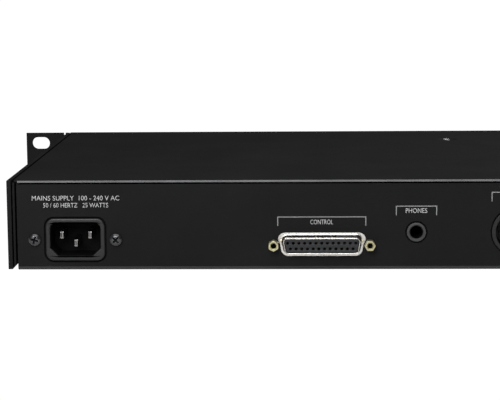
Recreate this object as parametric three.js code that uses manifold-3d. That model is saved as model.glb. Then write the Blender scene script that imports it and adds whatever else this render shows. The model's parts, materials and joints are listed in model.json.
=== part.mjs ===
// A one-unit rack effects processor.
// A folded steel tray and a flat cover sit between two side plates, whose front ends fold outwards
// into slotted rack ears. The rear panel holds the connectors, and the fascia holds the controls.
// Millimetres. +X points to the mains end, +Y out of the rear panel and +Z up. The origin is under
// the middle of the whole unit, on the surface that it stands on.

import * as THREE from "three";
import { mergeVertices } from "three/addons/utils/BufferGeometryUtils.js";
import Module from "manifold-3d";

const wasm = await Module();
wasm.setup();

// ---------------------------------------------------------------- overall sizes

const bodyWidth = 433; // over the two side plates
const bodyDepth = 219; // ears' front faces to the rear panel's outer face
const bodyHeight = 44.4; // underside of the tray to the top of the cover
const earReach = 24.8; // each ear beyond its side plate
const plateHeight = 44; // side plates and ears, one rack unit less its clearance
const plateThickness = 2.1;
const sheetThickness = 1; // tray and cover
const seat = 0.2; // gap kept between pieces that touch
const runningGap = 0.25; // gap round a piece that slides or turns in another

// ---------------------------------------------------------------- casing sizes

const plateLift = 0.3; // side plates' lower edge above the tray's underside
const plateSetback = 0.9; // side plates' rear edge in front of the rear panel's face
const earBendRadius = 1; // inside of the fold between side plate and ear
const slotLength = 10.6;
const slotWidth = 7.2;
const slotFromEdge = 8.75; // slot centre in from the ear's end
const slotPitch = 31.75; // between the two slots of an ear
const bendReliefWidth = 1.2;
const bendReliefDepth = 1.3;

const traySideGap = 0.7; // side plate to tray flange
const trayBendRadius = 1.8; // outside of the fold under the rear panel
const reliefGap = 1.2; // slot between tray flange and rear panel
const flangeCornerLow = 0.6; // flange's lower rear corner, cut off above the floor's slot
const flangeCornerHigh = 2.6;
const reliefLength = 15; // that slot's run along the floor
const flangeSetback = 1.5; // tray flange's rear edge in front of the rear panel's face
const panelTopGap = 0.8; // rear panel's top edge below the cover

const coverInset = 3.2; // cover's side edge from the side plate's outer face
const coverNotchWidth = 2.3; // cover's rear corners, cut back
const coverNotchLength = 3;
const coverLipHeight = 8;
const coverLipGap = 0.5; // cover lip to tray flange
const dimpleRadius = 6.5;
const dimpleFloorRadius = 3.6;
const dimpleDepth = 1.3;
const coverScrewFromFront = 44.5; // behind the ears' front faces
const coverScrewOffset = -9; // from the unit's centre line
const coverScrewHeadRadius = 2.8;

const fasciaThickness = 3;
const fasciaProud = 1.5; // fascia's face in front of the ears' front faces
const fasciaHeight = 44;
const fasciaEndGap = 0.2; // fascia's end to side plate

// ---------------------------------------------------------------- rear panel sizes

const inletHeight = 15.2; // centre above the tray's underside
const inletWidth = 29.2; // the snout that shows through the panel
const inletTall = 21;
const inletCorner = 4;
const inletOpeningWidth = 24.7;
const inletOpeningTall = 16.1;
const inletCavityDepth = 16;
const inletChamfer = 4;
const inletCutGap = 0.6; // snout to panel cut-out
const inletFlangeWidth = 48;
const inletFlangeTall = 24;
const inletScrewPitch = 40;
const inletScrewHeadRadius = 3.1;
const inletPinPitch = 14; // live to neutral
const inletPinRise = 2; // live and neutral above the middle, earth as much below
const inletPinTall = 4;
const inletPinWide = 2;
const inletPinLength = 13.5;
const inletBack = 5; // thickness behind the cavity
const inletTail = 6; // solder tails behind the body
const screwShankRadius = 1.45;
const screwHoleRadius = 1.75;

const remoteHeight = 12.5;
const remoteCutWidth = 43;
const remoteCutTall = 11.9;
const remoteCutCorner = 3.6;
const remoteFlangeWidth = 53.1;
const remoteFlangeTall = 12.5;
const remoteShellWidth = 38.4;
const remoteShellTall = 7.9;
const remoteShellReach = 5; // shell's rim outside the panel
const remoteShellWall = 0.5;
const remoteShellSlope = THREE.MathUtils.degToRad(10);
const contactPitch = 2.77;
const contactRowGap = 2.84;
const contactsUpper = 13;
const contactsLower = 12;
const contactHoleRadius = 0.75;
const jackscrewPitch = 47.04;
const jackscrewRadius = 2.72; // over the corners
const jackscrewReach = 5;
const jackscrewBore = 1.45;

const monitorHeight = 18.6;
const monitorRingRadius = 4.7;
const monitorCutGap = 0.5;
const monitorBoreRadius = 3.2;
const monitorBoreDepth = 20;
const monitorBodyWidth = 14;
const monitorStation = 20; // width kept for the jack on the panel

const audioCount = 4; // two outputs and two inputs
const audioCutRadius = 12;
const audioCutGap = 0.35; // connector ring to panel cut-out
const audioCupRadius = 9.4;
const audioRingReach = 0.8; // ring proud of the panel
const audioShellDepth = 22;
const audioFlangeSide = 1; // flange beyond the cut-out, each side
const audioFlangeEnd = 3; // flange beyond the cut-out, above and below
const audioFlangeGap = 4; // from one connector's flange to the next
const audioFlangeLift = 1.8; // flange's lower end above the tray's fold
const audioPinCircle = 4.1;
const audioPinRadius = 1.2;
const audioPinLength = 12;
const audioInsertRadius = 7.8; // the inputs' round insert
const audioInsertHoleRadius = 1.4;
const audioInsertFloor = 4; // thickness at the back of a connector
const latchWidth = 7.6;
const latchTall = 2.8;
const latchLow = 10.9; // underside of the latch above the connector's centre
const latchTravel = 1.5;
const latchProud = 1.1; // outside the panel when pressed home
const latchInside = 10; // inside the panel
const latchWall = 1.4;

const midiCount = 2;
const midiPitch = 22;
const midiCutRadius = 8;
const midiBodyWidth = 20;
const midiBodyTall = 18;
const midiBodyDepth = 12;
const midiGrooveOuter = 6.9;
const midiGrooveInner = 5.6;
const midiGrooveDepth = 8;
const midiPinCircle = 3.6;
const midiHoleRadius = 0.8;

// ---------------------------------------------------------------- front panel sizes

const controlHeight = 22.3; // middle of the fascia
const knobReach = 15; // knob's face in front of the fascia
const knobGap = 0.6; // fascia to knob
const knobBoreDepth = 9;
const levelKnobRadius = 9;
const dataKnobRadius = 12;
const shaftRadius = 3;
const shaftBoreGap = 0.1;
const bushRadius = 4.4;
const potWidth = 16;
const potShaftDepth = 4; // shaft's end inside the pot
const controlMargin = 2; // each side of a knob on the fascia

const windowWidth = 110;
const windowTall = 24;
const windowThickness = 1.5;
const windowCorner = 2;
const meterWidth = 44;
const meterTall = 16;
const glazingGap = 0.2;

const buttonColumns = 3;
const buttonRows = 2;
const buttonPitchX = 17;
const buttonPitchZ = 15;
const buttonWidth = 10;
const buttonTall = 6;
const buttonCorner = 1;
const buttonReach = 2.4; // cap in front of the fascia
const buttonFlange = 0.9; // flange beyond the cap, behind the fascia
const buttonTravel = 0.8;
const buttonStem = 3;
const keySwitchTall = 3.5; // off the front board

const switchWidth = 17;
const switchTall = 27;
const bezelReach = 1.6;
const switchBodyWidth = 14.4;
const switchBodyTall = 24.4;
const switchBodyDepth = 20;
const rockerWidth = 11;
const rockerHalf = 9.4; // pivot to the rocker's end
const rockerTilt = THREE.MathUtils.degToRad(8);
const rockerPivotDepth = 1.4; // behind the fascia's face
const rockerClearDepth = 5.6; // behind the pivot

// ---------------------------------------------------------------- inside sizes

const boardThickness = 1.6;
const shellToBoard = 0.95; // audio connector's ring to the main board under it
const powerBoardTop = 7.6;
const boardHoleRadius = 1.6;
const boardMargin = 6; // board's edge to tray flange
const panelToBoard = 4.5; // rear panel's face to the main board's rear edge
const panelToPowerBoard = 34;
const powerBoardFromFront = 24; // front board to the power board
const postToBoard = 4;
const boardScrewInset = 5; // screws in from a board's sides and front edge
const boardScrewFromRear = 29;
const standoffRadius = 2.5;
const postRadius = 3.5; // the tall stud under the cover's screw
const postThread = 12;
const frontBoardDepth = 11; // fascia's back face to the front board
const frontBoardTall = 36;
const chipSize = 28;
const chipThickness = 3;
const transformerWidth = 34;
const transformerLength = 30;
const transformerTall = 25;
const capacitorRadius = 9;
const capacitorTall = 28;
const heatSinkWidth = 44;
const heatSinkTall = 26;
const heatSinkThickness = 2;
const heatSinkFins = 6;
const heatSinkFinDepth = 10;
const ribbonWidth = 26;
const ribbonThickness = 1.2;
const ribbonHeaderMargin = 2; // header beyond the ribbon, each side
const ribbonToPost = 3;
const supplyGap = 6; // between the supply's parts, and to the power board's rear edge
const wireRadius = 1.4;

// ---------------------------------------------------------------- places that follow

const audioFlangeWidth = 2 * (audioCutRadius + audioFlangeSide);
const audioFlangeTall = 2 * (audioCutRadius + audioFlangeEnd);
const audioPitch = audioFlangeWidth + audioFlangeGap;
const audioHeight = trayBendRadius + audioFlangeLift + audioFlangeTall / 2; // connectors' centres
const audioRingRadius = audioCutRadius - audioCutGap;
const mainBoardTop = audioHeight - audioRingRadius - shellToBoard;

const overallDepth = bodyDepth + jackscrewReach + fasciaProud + knobReach;
const rearFace = overallDepth / 2 - jackscrewReach;
const earFront = rearFace - bodyDepth;
const fasciaFace = earFront - fasciaProud;
const fasciaBack = fasciaFace + fasciaThickness;
const panelInner = rearFace - sheetThickness;
const coverUnder = bodyHeight - sheetThickness;
const plateInner = bodyWidth / 2 - plateThickness;
const trayHalf = plateInner - traySideGap;
const flangeInner = trayHalf - sheetThickness;
const panelHalf = flangeInner - reliefGap;
const trayFront = fasciaBack + seat;
const wallTop = coverUnder - seat;
const panelTop = coverUnder - panelTopGap;
const fasciaHalf = plateInner - fasciaEndGap;
const frontBoardFace = fasciaBack + frontBoardDepth;
const frontBoardBack = frontBoardFace + boardThickness;

// Pieces in a row share out the width that they leave free, in the proportions of their gaps.
// Each entry is [name, width, gap before it]. The result gives each piece's middle along the row.
function spread(entries, lastGap, length) {
  const widths = entries.reduce((sum, entry) => sum + entry[1], 0);
  const gaps = entries.reduce((sum, entry) => sum + entry[2], lastGap);
  const share = (length - widths) / gaps;
  const middles = {};
  let reached = 0;
  for (const [name, width, gap] of entries) {
    reached += gap * share + width / 2;
    middles[name] = reached;
    reached += width / 2;
  }
  return middles;
}

const audioRowWidth = (audioCount - 1) * audioPitch + audioFlangeWidth;
const midiRowWidth = (midiCount - 1) * midiPitch + midiBodyWidth;
const buttonRowWidth = (buttonColumns - 1) * buttonPitchX + buttonWidth;
const levelKnobStation = 2 * (levelKnobRadius + controlMargin);
const dataKnobStation = 2 * (dataKnobRadius + controlMargin);

// Along the rear panel, from the mains end.
const rearRow = spread(
  [
    ["inlet", inletFlangeWidth, 9.6],
    ["remote", remoteFlangeWidth, 70.45],
    ["monitor", monitorStation, 9.55],
    ["audio", audioRowWidth, 25],
    ["midi", midiRowWidth, 7.5],
  ],
  31.8,
  bodyWidth,
);
const rearX = (name) => bodyWidth / 2 - rearRow[name];

// Along the fascia, from the end away from the mains.
const frontRow = spread(
  [
    ["input", levelKnobStation, 16],
    ["output", levelKnobStation, 10],
    ["meter", meterWidth, 14],
    ["display", windowWidth, 14],
    ["buttons", buttonRowWidth, 20],
    ["data", dataKnobStation, 22],
    ["power", switchWidth, 24],
  ],
  16,
  2 * fasciaHalf,
);
const frontX = (name) => frontRow[name] - fasciaHalf;

const audioX = (index) => rearX("audio") + audioRowWidth / 2 - audioFlangeWidth / 2 - index * audioPitch;
const midiX = (index) => rearX("midi") + midiRowWidth / 2 - midiBodyWidth / 2 - index * midiPitch;
const isOutput = (index) => index < audioCount / 2;

// The power board stands behind the inlet, and the main board behind the other connectors.
const inletEnd = rearX("inlet") - inletFlangeWidth / 2;
const remoteEnd = rearX("remote") + remoteFlangeWidth / 2;
const boardDivide = (inletEnd + remoteEnd) / 2;
const postY = earFront + coverScrewFromFront;

// ---------------------------------------------------------------- solids

function solid(geometry) {
  const bare = geometry.clone();
  bare.deleteAttribute("normal");
  bare.deleteAttribute("uv");
  const merged = mergeVertices(bare, 1e-4);
  const triVerts = new Uint32Array(merged.index.array);
  const vertProperties = merged.attributes.position.array;
  const made = new wasm.Manifold(new wasm.Mesh({ numProp: 3, vertProperties, triVerts }));
  if (made.volume() > 0) return made;
  for (let i = 0; i < triVerts.length; i += 3) {
    [triVerts[i + 1], triVerts[i + 2]] = [triVerts[i + 2], triVerts[i + 1]];
  }
  return new wasm.Manifold(new wasm.Mesh({ numProp: 3, vertProperties, triVerts }));
}

const join = (...forms) => forms.reduce((whole, form) => whole.add(form));
const cut = (form, ...tools) => tools.reduce((left, tool) => left.subtract(tool), form);
const shift = (form, x, y, z) => form.translate([x, y, z]);

// A box between two values on each axis.
function block(x0, x1, y0, y1, z0, z1) {
  const box = new THREE.BoxGeometry(x1 - x0, y1 - y0, z1 - z0);
  box.translate((x0 + x1) / 2, (y0 + y1) / 2, (z0 + z1) / 2);
  return solid(box);
}

// A box of a given width and height centred on the Y axis.
const barY = (width, tall, y0, y1) => block(-width / 2, width / 2, y0, y1, -tall / 2, tall / 2);

// A round bar along Y or Z, between two values on that axis.
function rodY(radius, y0, y1, sides = 24) {
  const rod = new THREE.CylinderGeometry(radius, radius, y1 - y0, sides);
  rod.translate(0, (y0 + y1) / 2, 0);
  return solid(rod);
}

function rodZ(radius, z0, z1, sides = 16) {
  const rod = new THREE.CylinderGeometry(radius, radius, z1 - z0, sides);
  rod.rotateX(Math.PI / 2);
  rod.translate(0, 0, (z0 + z1) / 2);
  return solid(rod);
}

// A turned form about the Y axis, from a closed outline of [radius, y] points.
function turnedY(outline, sides = 24) {
  const points = outline.map(([radius, y]) => new THREE.Vector2(radius, y));
  return solid(new THREE.LatheGeometry(points, sides));
}

// The same about the Z axis, from [radius, z] points.
function turnedZ(outline, sides = 24) {
  const points = outline.map(([radius, z]) => new THREE.Vector2(radius, z));
  const turned = new THREE.LatheGeometry(points, sides);
  turned.rotateX(Math.PI / 2);
  return solid(turned);
}

function extrusion(shape, length, curveSegments) {
  return new THREE.ExtrudeGeometry(shape, { depth: length, bevelEnabled: false, curveSegments });
}

// A shape drawn in X and Z, run along Y.
function runY(shape, y0, y1, curveSegments = 3) {
  const form = extrusion(shape, y1 - y0, curveSegments);
  form.rotateX(Math.PI / 2);
  form.translate(0, y1, 0);
  return solid(form);
}

// A shape drawn in Y and Z, run along X.
function runX(shape, x0, x1, curveSegments = 3) {
  const form = extrusion(shape, x1 - x0, curveSegments);
  form.applyMatrix4(new THREE.Matrix4().set(0, 0, 1, x0, 1, 0, 0, 0, 0, 1, 0, 0, 0, 0, 0, 1));
  return solid(form);
}

// A shape drawn in X and Y, run along Z.
function runZ(shape, z0, z1, curveSegments = 3) {
  const form = extrusion(shape, z1 - z0, curveSegments);
  form.translate(0, 0, z0);
  return solid(form);
}

function roundedRect(width, tall, radius) {
  const shape = new THREE.Shape();
  const x = width / 2 - radius;
  const y = tall / 2 - radius;
  shape.absarc(x, y, radius, 0, Math.PI / 2);
  shape.absarc(-x, y, radius, Math.PI / 2, Math.PI);
  shape.absarc(-x, -y, radius, Math.PI, 1.5 * Math.PI);
  shape.absarc(x, -y, radius, 1.5 * Math.PI, 2 * Math.PI);
  return shape;
}

function polygon(points) {
  return new THREE.Shape(points.map(([x, y]) => new THREE.Vector2(x, y)));
}

// ---------------------------------------------------------------- the scene graph

const unit = new THREE.Group();

function add(name, form, colour, roughness, metalness, at = [0, 0, 0]) {
  const made = form.getMesh();
  const geometry = new THREE.BufferGeometry();
  geometry.setAttribute("position", new THREE.BufferAttribute(made.vertProperties, 3));
  geometry.setIndex(new THREE.BufferAttribute(made.triVerts, 1));
  geometry.computeVertexNormals();
  const material = new THREE.MeshStandardMaterial({ color: colour, roughness, metalness });
  const mesh = new THREE.Mesh(geometry, material);
  mesh.name = name;
  mesh.position.set(...at);
  unit.add(mesh);
  return mesh;
}

const enamel = 0x1c1c1e;
const anodised = 0x232326;
const blackPlastic = 0x121213;
const greyPlastic = 0x4b4b50;
const tin = 0xd8d4cc;
const zincYellow = 0xb9b283;
const boardGreen = 0x1f5a38;
const inkBlack = 0x0b0b0c;

// ---------------------------------------------------------------- mains inlet

// The inlet's mouth: square at the top, chamfered at the earth side.
function inletMouth(grow) {
  const w = inletOpeningWidth / 2 + grow;
  const h = inletOpeningTall / 2 + grow;
  const c = inletChamfer;
  return polygon([
    [w, h],
    [-w, h],
    [-w, -h + c],
    [-w + c, -h],
    [w - c, -h],
    [w, -h + c],
  ]);
}

const inletFlangeFront = -sheetThickness - seat;
const inletFlangeBack = inletFlangeFront - 3;
const inletFace = 0.5; // snout proud of the panel
const inletFloor = inletFace - inletCavityDepth;
const inletBodyBack = inletFloor - inletBack;

function inletBody() {
  const snout = runY(roundedRect(inletWidth, inletTall, inletCorner), inletBodyBack, inletFace);
  const flange = runY(
    roundedRect(inletFlangeWidth, inletFlangeTall, 3),
    inletFlangeBack,
    inletFlangeFront,
  );
  const cavity = runY(inletMouth(0), inletFloor, inletFace + 1);
  const hole = rodY(screwHoleRadius, inletFlangeBack - 1, inletFlangeFront + 1, 16);
  const slot = barY(inletPinWide + seat, inletPinTall + seat, inletBodyBack - 1, inletFloor + 1);
  return cut(
    join(snout, flange),
    cavity,
    shift(hole, inletScrewPitch / 2, 0, 0),
    shift(hole, -inletScrewPitch / 2, 0, 0),
    ...inletPins.map(([, x, z]) => shift(slot, x, 0, z)),
  );
}

const inletPins = [
  ["live", inletPinPitch / 2, inletPinRise],
  ["neutral", -inletPinPitch / 2, inletPinRise],
  ["earth", 0, -inletPinRise],
];

// A blade with a bevelled tip, and a narrower solder tail behind the inlet.
function inletPin() {
  const tip = inletFloor + inletPinLength;
  const half = inletPinTall / 2;
  const bevel = 0.8;
  const side = polygon([
    [inletBodyBack - inletTail, -half + 1],
    [inletBodyBack, -half],
    [tip - 2 * bevel, -half],
    [tip, -half + bevel],
    [tip, half - bevel],
    [tip - 2 * bevel, half],
    [inletBodyBack, half],
    [inletBodyBack - inletTail, half - 1],
  ]);
  return runX(side, -inletPinWide / 2, inletPinWide / 2);
}

// A pan-headed screw with a cross recess, its head's underside at y = 0.
function panScrew(headRadius, shankLength) {
  const headTall = 0.62 * headRadius;
  const dome = turnedY(
    [
      [0, -shankLength],
      [screwShankRadius - 0.4, -shankLength],
      [screwShankRadius, -shankLength + 0.6],
      [screwShankRadius, 0],
      [headRadius, 0],
      [headRadius, 0.45 * headTall],
      [0.86 * headRadius, 0.78 * headTall],
      [0.5 * headRadius, headTall],
      [0, headTall],
    ],
    14,
  );
  const arm = 0.11 * headRadius;
  const reach = 0.55 * headRadius;
  const floor = 0.4 * headTall;
  return cut(
    dome,
    block(-arm, arm, floor, headTall + 1, -reach, reach),
    block(-reach, reach, floor, headTall + 1, -arm, arm),
  );
}

{
  const at = [rearX("inlet"), rearFace, inletHeight];
  add("mains_inlet_body", inletBody(), blackPlastic, 0.5, 0, at);
  for (const [name, x, z] of inletPins) {
    add(`mains_pin_${name}`, shift(inletPin(), x, 0, z), tin, 0.25, 0.9, at);
  }
  for (const [side, sign] of [["left", 1], ["right", -1]]) {
    const screwAt = [at[0] + (sign * inletScrewPitch) / 2, rearFace + seat, inletHeight];
    add(`inlet_screw_${side}`, panScrew(inletScrewHeadRadius, 8), 0x2b2b2e, 0.35, 0.8, screwAt);
  }
}

// ---------------------------------------------------------------- remote connector

// A D outline with sloping ends, wide side up.
function dOutline(width, tall, radius) {
  const lean = (tall / 2) * Math.tan(remoteShellSlope);
  const top = width / 2;
  const bottom = top - 2 * lean;
  const shape = new THREE.Shape();
  const corners = [
    [top - radius, tall / 2 - radius, 0, Math.PI / 2],
    [-top + radius, tall / 2 - radius, Math.PI / 2, Math.PI],
    [-bottom + radius, -tall / 2 + radius, Math.PI, 1.5 * Math.PI],
    [bottom - radius, -tall / 2 + radius, 1.5 * Math.PI, 2 * Math.PI],
  ];
  for (const [x, y, from, to] of corners) shape.absarc(x, y, radius, from, to);
  return shape;
}

const remoteFlangeFront = -sheetThickness - seat;
const remoteFlangeBack = remoteFlangeFront - 0.8;
const remoteBodyBack = remoteFlangeBack - 9;

function remoteShell() {
  const sheet = roundedRect(remoteFlangeWidth, remoteFlangeTall, 1.5);
  const flange = runY(sheet, remoteFlangeBack, remoteFlangeFront);
  const skirt = runY(dOutline(remoteShellWidth, remoteShellTall, 2), remoteFlangeBack, remoteShellReach);
  const walls = 2 * remoteShellWall;
  const inside = dOutline(remoteShellWidth - walls, remoteShellTall - walls, 1.5);
  const bore = runY(inside, remoteFlangeBack - 1, remoteShellReach + 1);
  const hole = rodY(screwHoleRadius, remoteFlangeBack - 1, remoteFlangeFront + 1, 16);
  return cut(
    join(flange, skirt),
    bore,
    shift(hole, jackscrewPitch / 2, 0, 0),
    shift(hole, -jackscrewPitch / 2, 0, 0),
  );
}

function remoteInsulator() {
  const clear = 2 * (remoteShellWall + seat);
  const faceY = remoteShellReach - 0.5;
  const front = dOutline(remoteShellWidth - clear, remoteShellTall - clear, 1.3);
  const face = runY(front, remoteBodyBack + 1, faceY);
  const back = runY(roundedRect(remoteShellWidth + 4, 10.6, 1), remoteBodyBack, remoteFlangeBack - seat);
  const rows = [
    [contactsUpper, contactRowGap / 2],
    [contactsLower, -contactRowGap / 2],
  ];
  const hole = rodY(contactHoleRadius, faceY - 4, faceY + 1, 6);
  const holes = [];
  for (const [count, z] of rows) {
    for (let i = 0; i < count; i += 1) {
      holes.push(shift(hole, (i - (count - 1) / 2) * contactPitch, 0, z));
    }
  }
  return cut(join(face, back), ...holes);
}

// A six-sided pillar with a threaded bore, and a stud through panel and flange.
function jackscrew() {
  const pillar = rodY(jackscrewRadius, seat, jackscrewReach, 6);
  const stud = rodY(screwShankRadius, remoteBodyBack + 3, 2 * seat, 12);
  const bore = rodY(jackscrewBore, 1.2, jackscrewReach + 1, 12);
  return cut(join(pillar, stud), bore);
}

{
  const at = [rearX("remote"), rearFace, remoteHeight];
  add("remote_connector_shell", remoteShell(), tin, 0.3, 0.9, at);
  add("remote_connector_insulator", remoteInsulator(), 0x2c2e33, 0.5, 0, at);
  for (const [side, sign] of [["left", 1], ["right", -1]]) {
    const pillarAt = [at[0] + (sign * jackscrewPitch) / 2, rearFace, remoteHeight];
    add(`remote_jackscrew_${side}`, jackscrew(), zincYellow, 0.35, 0.85, pillarAt);
  }
}

// ---------------------------------------------------------------- monitor jack

function monitorJack() {
  const half = monitorBodyWidth / 2;
  const bodyFront = -sheetThickness - seat;
  const foot = mainBoardTop + seat - monitorHeight;
  const body = block(-half, half, -monitorBoreDepth - 3, bodyFront, foot, half);
  const ring = rodY(monitorRingRadius, bodyFront - 0.5, 0.6, 24);
  const bore = rodY(monitorBoreRadius, -monitorBoreDepth, 2, 20);
  return cut(join(body, ring), bore);
}

add("monitor_jack", monitorJack(), greyPlastic, 0.45, 0, [rearX("monitor"), rearFace, monitorHeight]);

// ---------------------------------------------------------------- audio connectors

const audioFlangeFront = -sheetThickness - seat;
const audioFlangeBack = audioFlangeFront - 2;
const latchMiddle = latchLow + latchTall / 2;
const latchBossTop = latchLow + latchTall + runningGap + latchWall;
const latchBossHalf = latchWidth / 2 + runningGap + latchWall;

function audioShell(output) {
  const ring = rodY(audioRingRadius, -audioShellDepth, audioRingReach, 28);
  const flange = runY(roundedRect(audioFlangeWidth, audioFlangeTall, 2), audioFlangeBack, audioFlangeFront);
  const cup = rodY(audioCupRadius, -audioShellDepth - 1, audioRingReach + 1, 28);
  if (output) return cut(join(ring, flange), cup);
  const boss = block(-latchBossHalf, latchBossHalf, -audioShellDepth, audioRingReach, 0, latchBossTop);
  const slotWide = latchWidth + 2 * runningGap;
  const slotTall = latchTall + 2 * runningGap;
  const slot = barY(slotWide, slotTall, -audioShellDepth - 1, audioRingReach + 1);
  return cut(join(ring, flange, boss), cup, shift(slot, 0, 0, latchMiddle));
}

// The three contacts stand on a circle, the third at the bottom.
const audioContacts = [30, 150, 270].map((degrees) => {
  const angle = THREE.MathUtils.degToRad(degrees);
  return [audioPinCircle * Math.cos(angle), audioPinCircle * Math.sin(angle)];
});

function outputInsert() {
  const floorFront = -audioShellDepth + audioInsertFloor;
  const disc = rodY(audioCupRadius - seat, -audioShellDepth, floorFront, 28);
  const tip = floorFront + audioPinLength;
  const pin = turnedY(
    [
      [0, floorFront - 1],
      [audioPinRadius, floorFront - 1],
      [audioPinRadius, tip - audioPinRadius],
      [0.6 * audioPinRadius, tip - 0.2],
      [0, tip],
    ],
    8,
  );
  return join(disc, ...audioContacts.map(([x, z]) => shift(pin, x, 0, z)));
}

function inputInsert() {
  const floorFront = -audioShellDepth + audioInsertFloor;
  const disc = rodY(audioCupRadius - seat, -audioShellDepth, floorFront, 28);
  const core = rodY(audioInsertRadius, floorFront - 1, 0, 24);
  const hole = rodY(audioInsertHoleRadius, -12, 1, 8);
  return cut(join(disc, core), ...audioContacts.map(([x, z]) => shift(hole, x, 0, z)));
}

// A push tab over an input's cup, which frees the plug.
function latchTab() {
  const half = latchTall / 2;
  const reach = latchProud + latchTravel;
  const nose = 0.9;
  const side = polygon([
    [-latchInside, -half],
    [reach, -half],
    [reach, half - nose],
    [reach - nose, half],
    [-latchInside, half],
  ]);
  return shift(runX(side, -latchWidth / 2, latchWidth / 2), 0, 0, latchMiddle);
}

for (let index = 0; index < audioCount; index += 1) {
  const output = isOutput(index);
  const number = (index % (audioCount / 2)) + 1;
  const title = output ? `output_${number}` : `input_${number}`;
  const at = [audioX(index), rearFace, audioHeight];
  add(`${title}_shell`, audioShell(output), output ? 0x2f2f33 : 0x3a3a3e, 0.45, 0.6, at);
  add(`${title}_insert`, output ? outputInsert() : inputInsert(), inkBlack, 0.5, 0, at);
  if (!output) add(`${title}_latch`, latchTab(), 0x8f8f94, 0.35, 0.7, at);
}

// ---------------------------------------------------------------- control-data sockets

function midiSocket() {
  const bodyFront = -sheetThickness - seat;
  const foot = mainBoardTop + seat - audioHeight;
  const body = block(
    -midiBodyWidth / 2,
    midiBodyWidth / 2,
    bodyFront - midiBodyDepth,
    bodyFront,
    foot,
    midiBodyTall / 2,
  );
  const collar = rodY(midiCutRadius - seat, bodyFront - 0.5, 0.6, 24);
  const groove = cut(
    rodY(midiGrooveOuter, -midiGrooveDepth, 2, 24),
    rodY(midiGrooveInner, -midiGrooveDepth - 1, 3, 20),
  );
  const key = block(-1.1, 1.1, -midiGrooveDepth, 2, -midiGrooveOuter, -midiGrooveInner + 1.2);
  const hole = rodY(midiHoleRadius, -midiGrooveDepth, 2, 6);
  const holes = [0, 45, 90, 135, 180].map((degrees) => {
    const angle = THREE.MathUtils.degToRad(degrees);
    return shift(hole, midiPinCircle * Math.cos(angle), 0, midiPinCircle * Math.sin(angle));
  });
  return cut(join(body, collar), groove, key, ...holes);
}

for (let index = 0; index < midiCount; index += 1) {
  const at = [midiX(index), rearFace, audioHeight];
  add(`control_data_socket_${index + 1}`, midiSocket(), blackPlastic, 0.5, 0, at);
}

// ---------------------------------------------------------------- controls on the fascia

const panelToKnobBore = knobReach - 2;

function knob(radius) {
  const skirt = 1.2;
  const outer = turnedY(
    [
      [0, -knobReach],
      [0.82 * radius, -knobReach],
      [0.9 * radius, -knobReach + 0.8],
      [0.93 * radius, -knobGap - 3],
      [radius, -knobGap - 2.2],
      [radius, -knobGap],
      [radius - skirt, -knobGap],
      [radius - skirt, -knobGap - 1.2],
      [0, -knobGap - 1.2],
    ],
    24,
  );
  const bore = rodY(shaftRadius + shaftBoreGap, -panelToKnobBore, 1, 16);
  return cut(outer, bore);
}

// A round shaft with a flat, from inside the pot to inside the knob.
const potFront = fasciaThickness + 1.4; // behind the fascia's face

function shaft() {
  const flat = 0.5 * shaftRadius;
  const end = -panelToKnobBore;
  const rod = rodY(shaftRadius, end + seat, potFront + potShaftDepth - seat, 16);
  const tool = block(-shaftRadius, shaftRadius, end, end + knobBoreDepth, flat, shaftRadius + 1);
  return cut(rod, tool);
}

// A square pot or encoder body on the front board, with a plain bush through the fascia.
function pot() {
  const back = fasciaThickness + frontBoardDepth - seat;
  const body = barY(potWidth, potWidth, potFront, back);
  const bush = rodY(bushRadius, seat, potFront + 1, 16);
  const bore = rodY(shaftRadius + runningGap, -1, potFront + potShaftDepth, 16);
  return cut(join(body, bush), bore);
}

const knobs = [
  ["input_level", "input", levelKnobRadius],
  ["output_level", "output", levelKnobRadius],
  ["data_wheel", "data", dataKnobRadius],
];

for (const [title, station, radius] of knobs) {
  const at = [frontX(station), fasciaFace, controlHeight];
  add(`${title}_knob`, knob(radius), blackPlastic, 0.55, 0, at);
  add(`${title}_shaft`, shaft(), 0xb9b9bd, 0.35, 0.9, at);
  add(`${title}_pot`, pot(), 0x3c5f86, 0.5, 0.3, at);
}

// ---------------------------------------------------------------- push-buttons

// The stem ends short of its key switch by the key's travel and a gap.
const buttonStemEnd = fasciaThickness + frontBoardDepth - keySwitchTall - buttonTravel - seat;

function button() {
  const capShape = roundedRect(buttonWidth, buttonTall, buttonCorner);
  const cap = runY(capShape, -buttonReach, fasciaThickness + 1, 1);
  const flangeWide = buttonWidth + 2 * buttonFlange;
  const flangeTall = buttonTall + 2 * buttonFlange;
  const flange = barY(flangeWide, flangeTall, fasciaThickness + seat, fasciaThickness + seat + 1);
  const stem = barY(buttonStem, buttonStem, fasciaThickness + 1, buttonStemEnd);
  return join(cap, flange, stem);
}

const buttonPlaces = [];
for (let row = 0; row < buttonRows; row += 1) {
  for (let column = 0; column < buttonColumns; column += 1) {
    buttonPlaces.push([
      frontX("buttons") + (column - (buttonColumns - 1) / 2) * buttonPitchX,
      controlHeight + ((buttonRows - 1) / 2 - row) * buttonPitchZ,
    ]);
  }
}

buttonPlaces.forEach(([x, z], index) => {
  add(`push_button_${index + 1}`, button(), 0x55555a, 0.5, 0, [x, fasciaFace, z]);
});

// ---------------------------------------------------------------- power switch

const rockerCavityHalf = Math.hypot(rockerHalf + 0.1, 4.4) + runningGap;

function switchBody() {
  const bezel = runY(roundedRect(switchWidth, switchTall, 1.5), -bezelReach, -seat);
  const body = barY(switchBodyWidth, switchBodyTall, -2 * seat, switchBodyDepth);
  const cavityWidth = rockerWidth + 2 * runningGap;
  const cavityFloor = rockerPivotDepth + rockerClearDepth;
  const cavity = barY(cavityWidth, 2 * rockerCavityHalf, -bezelReach - 1, cavityFloor);
  return cut(join(bezel, body), cavity);
}

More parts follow.
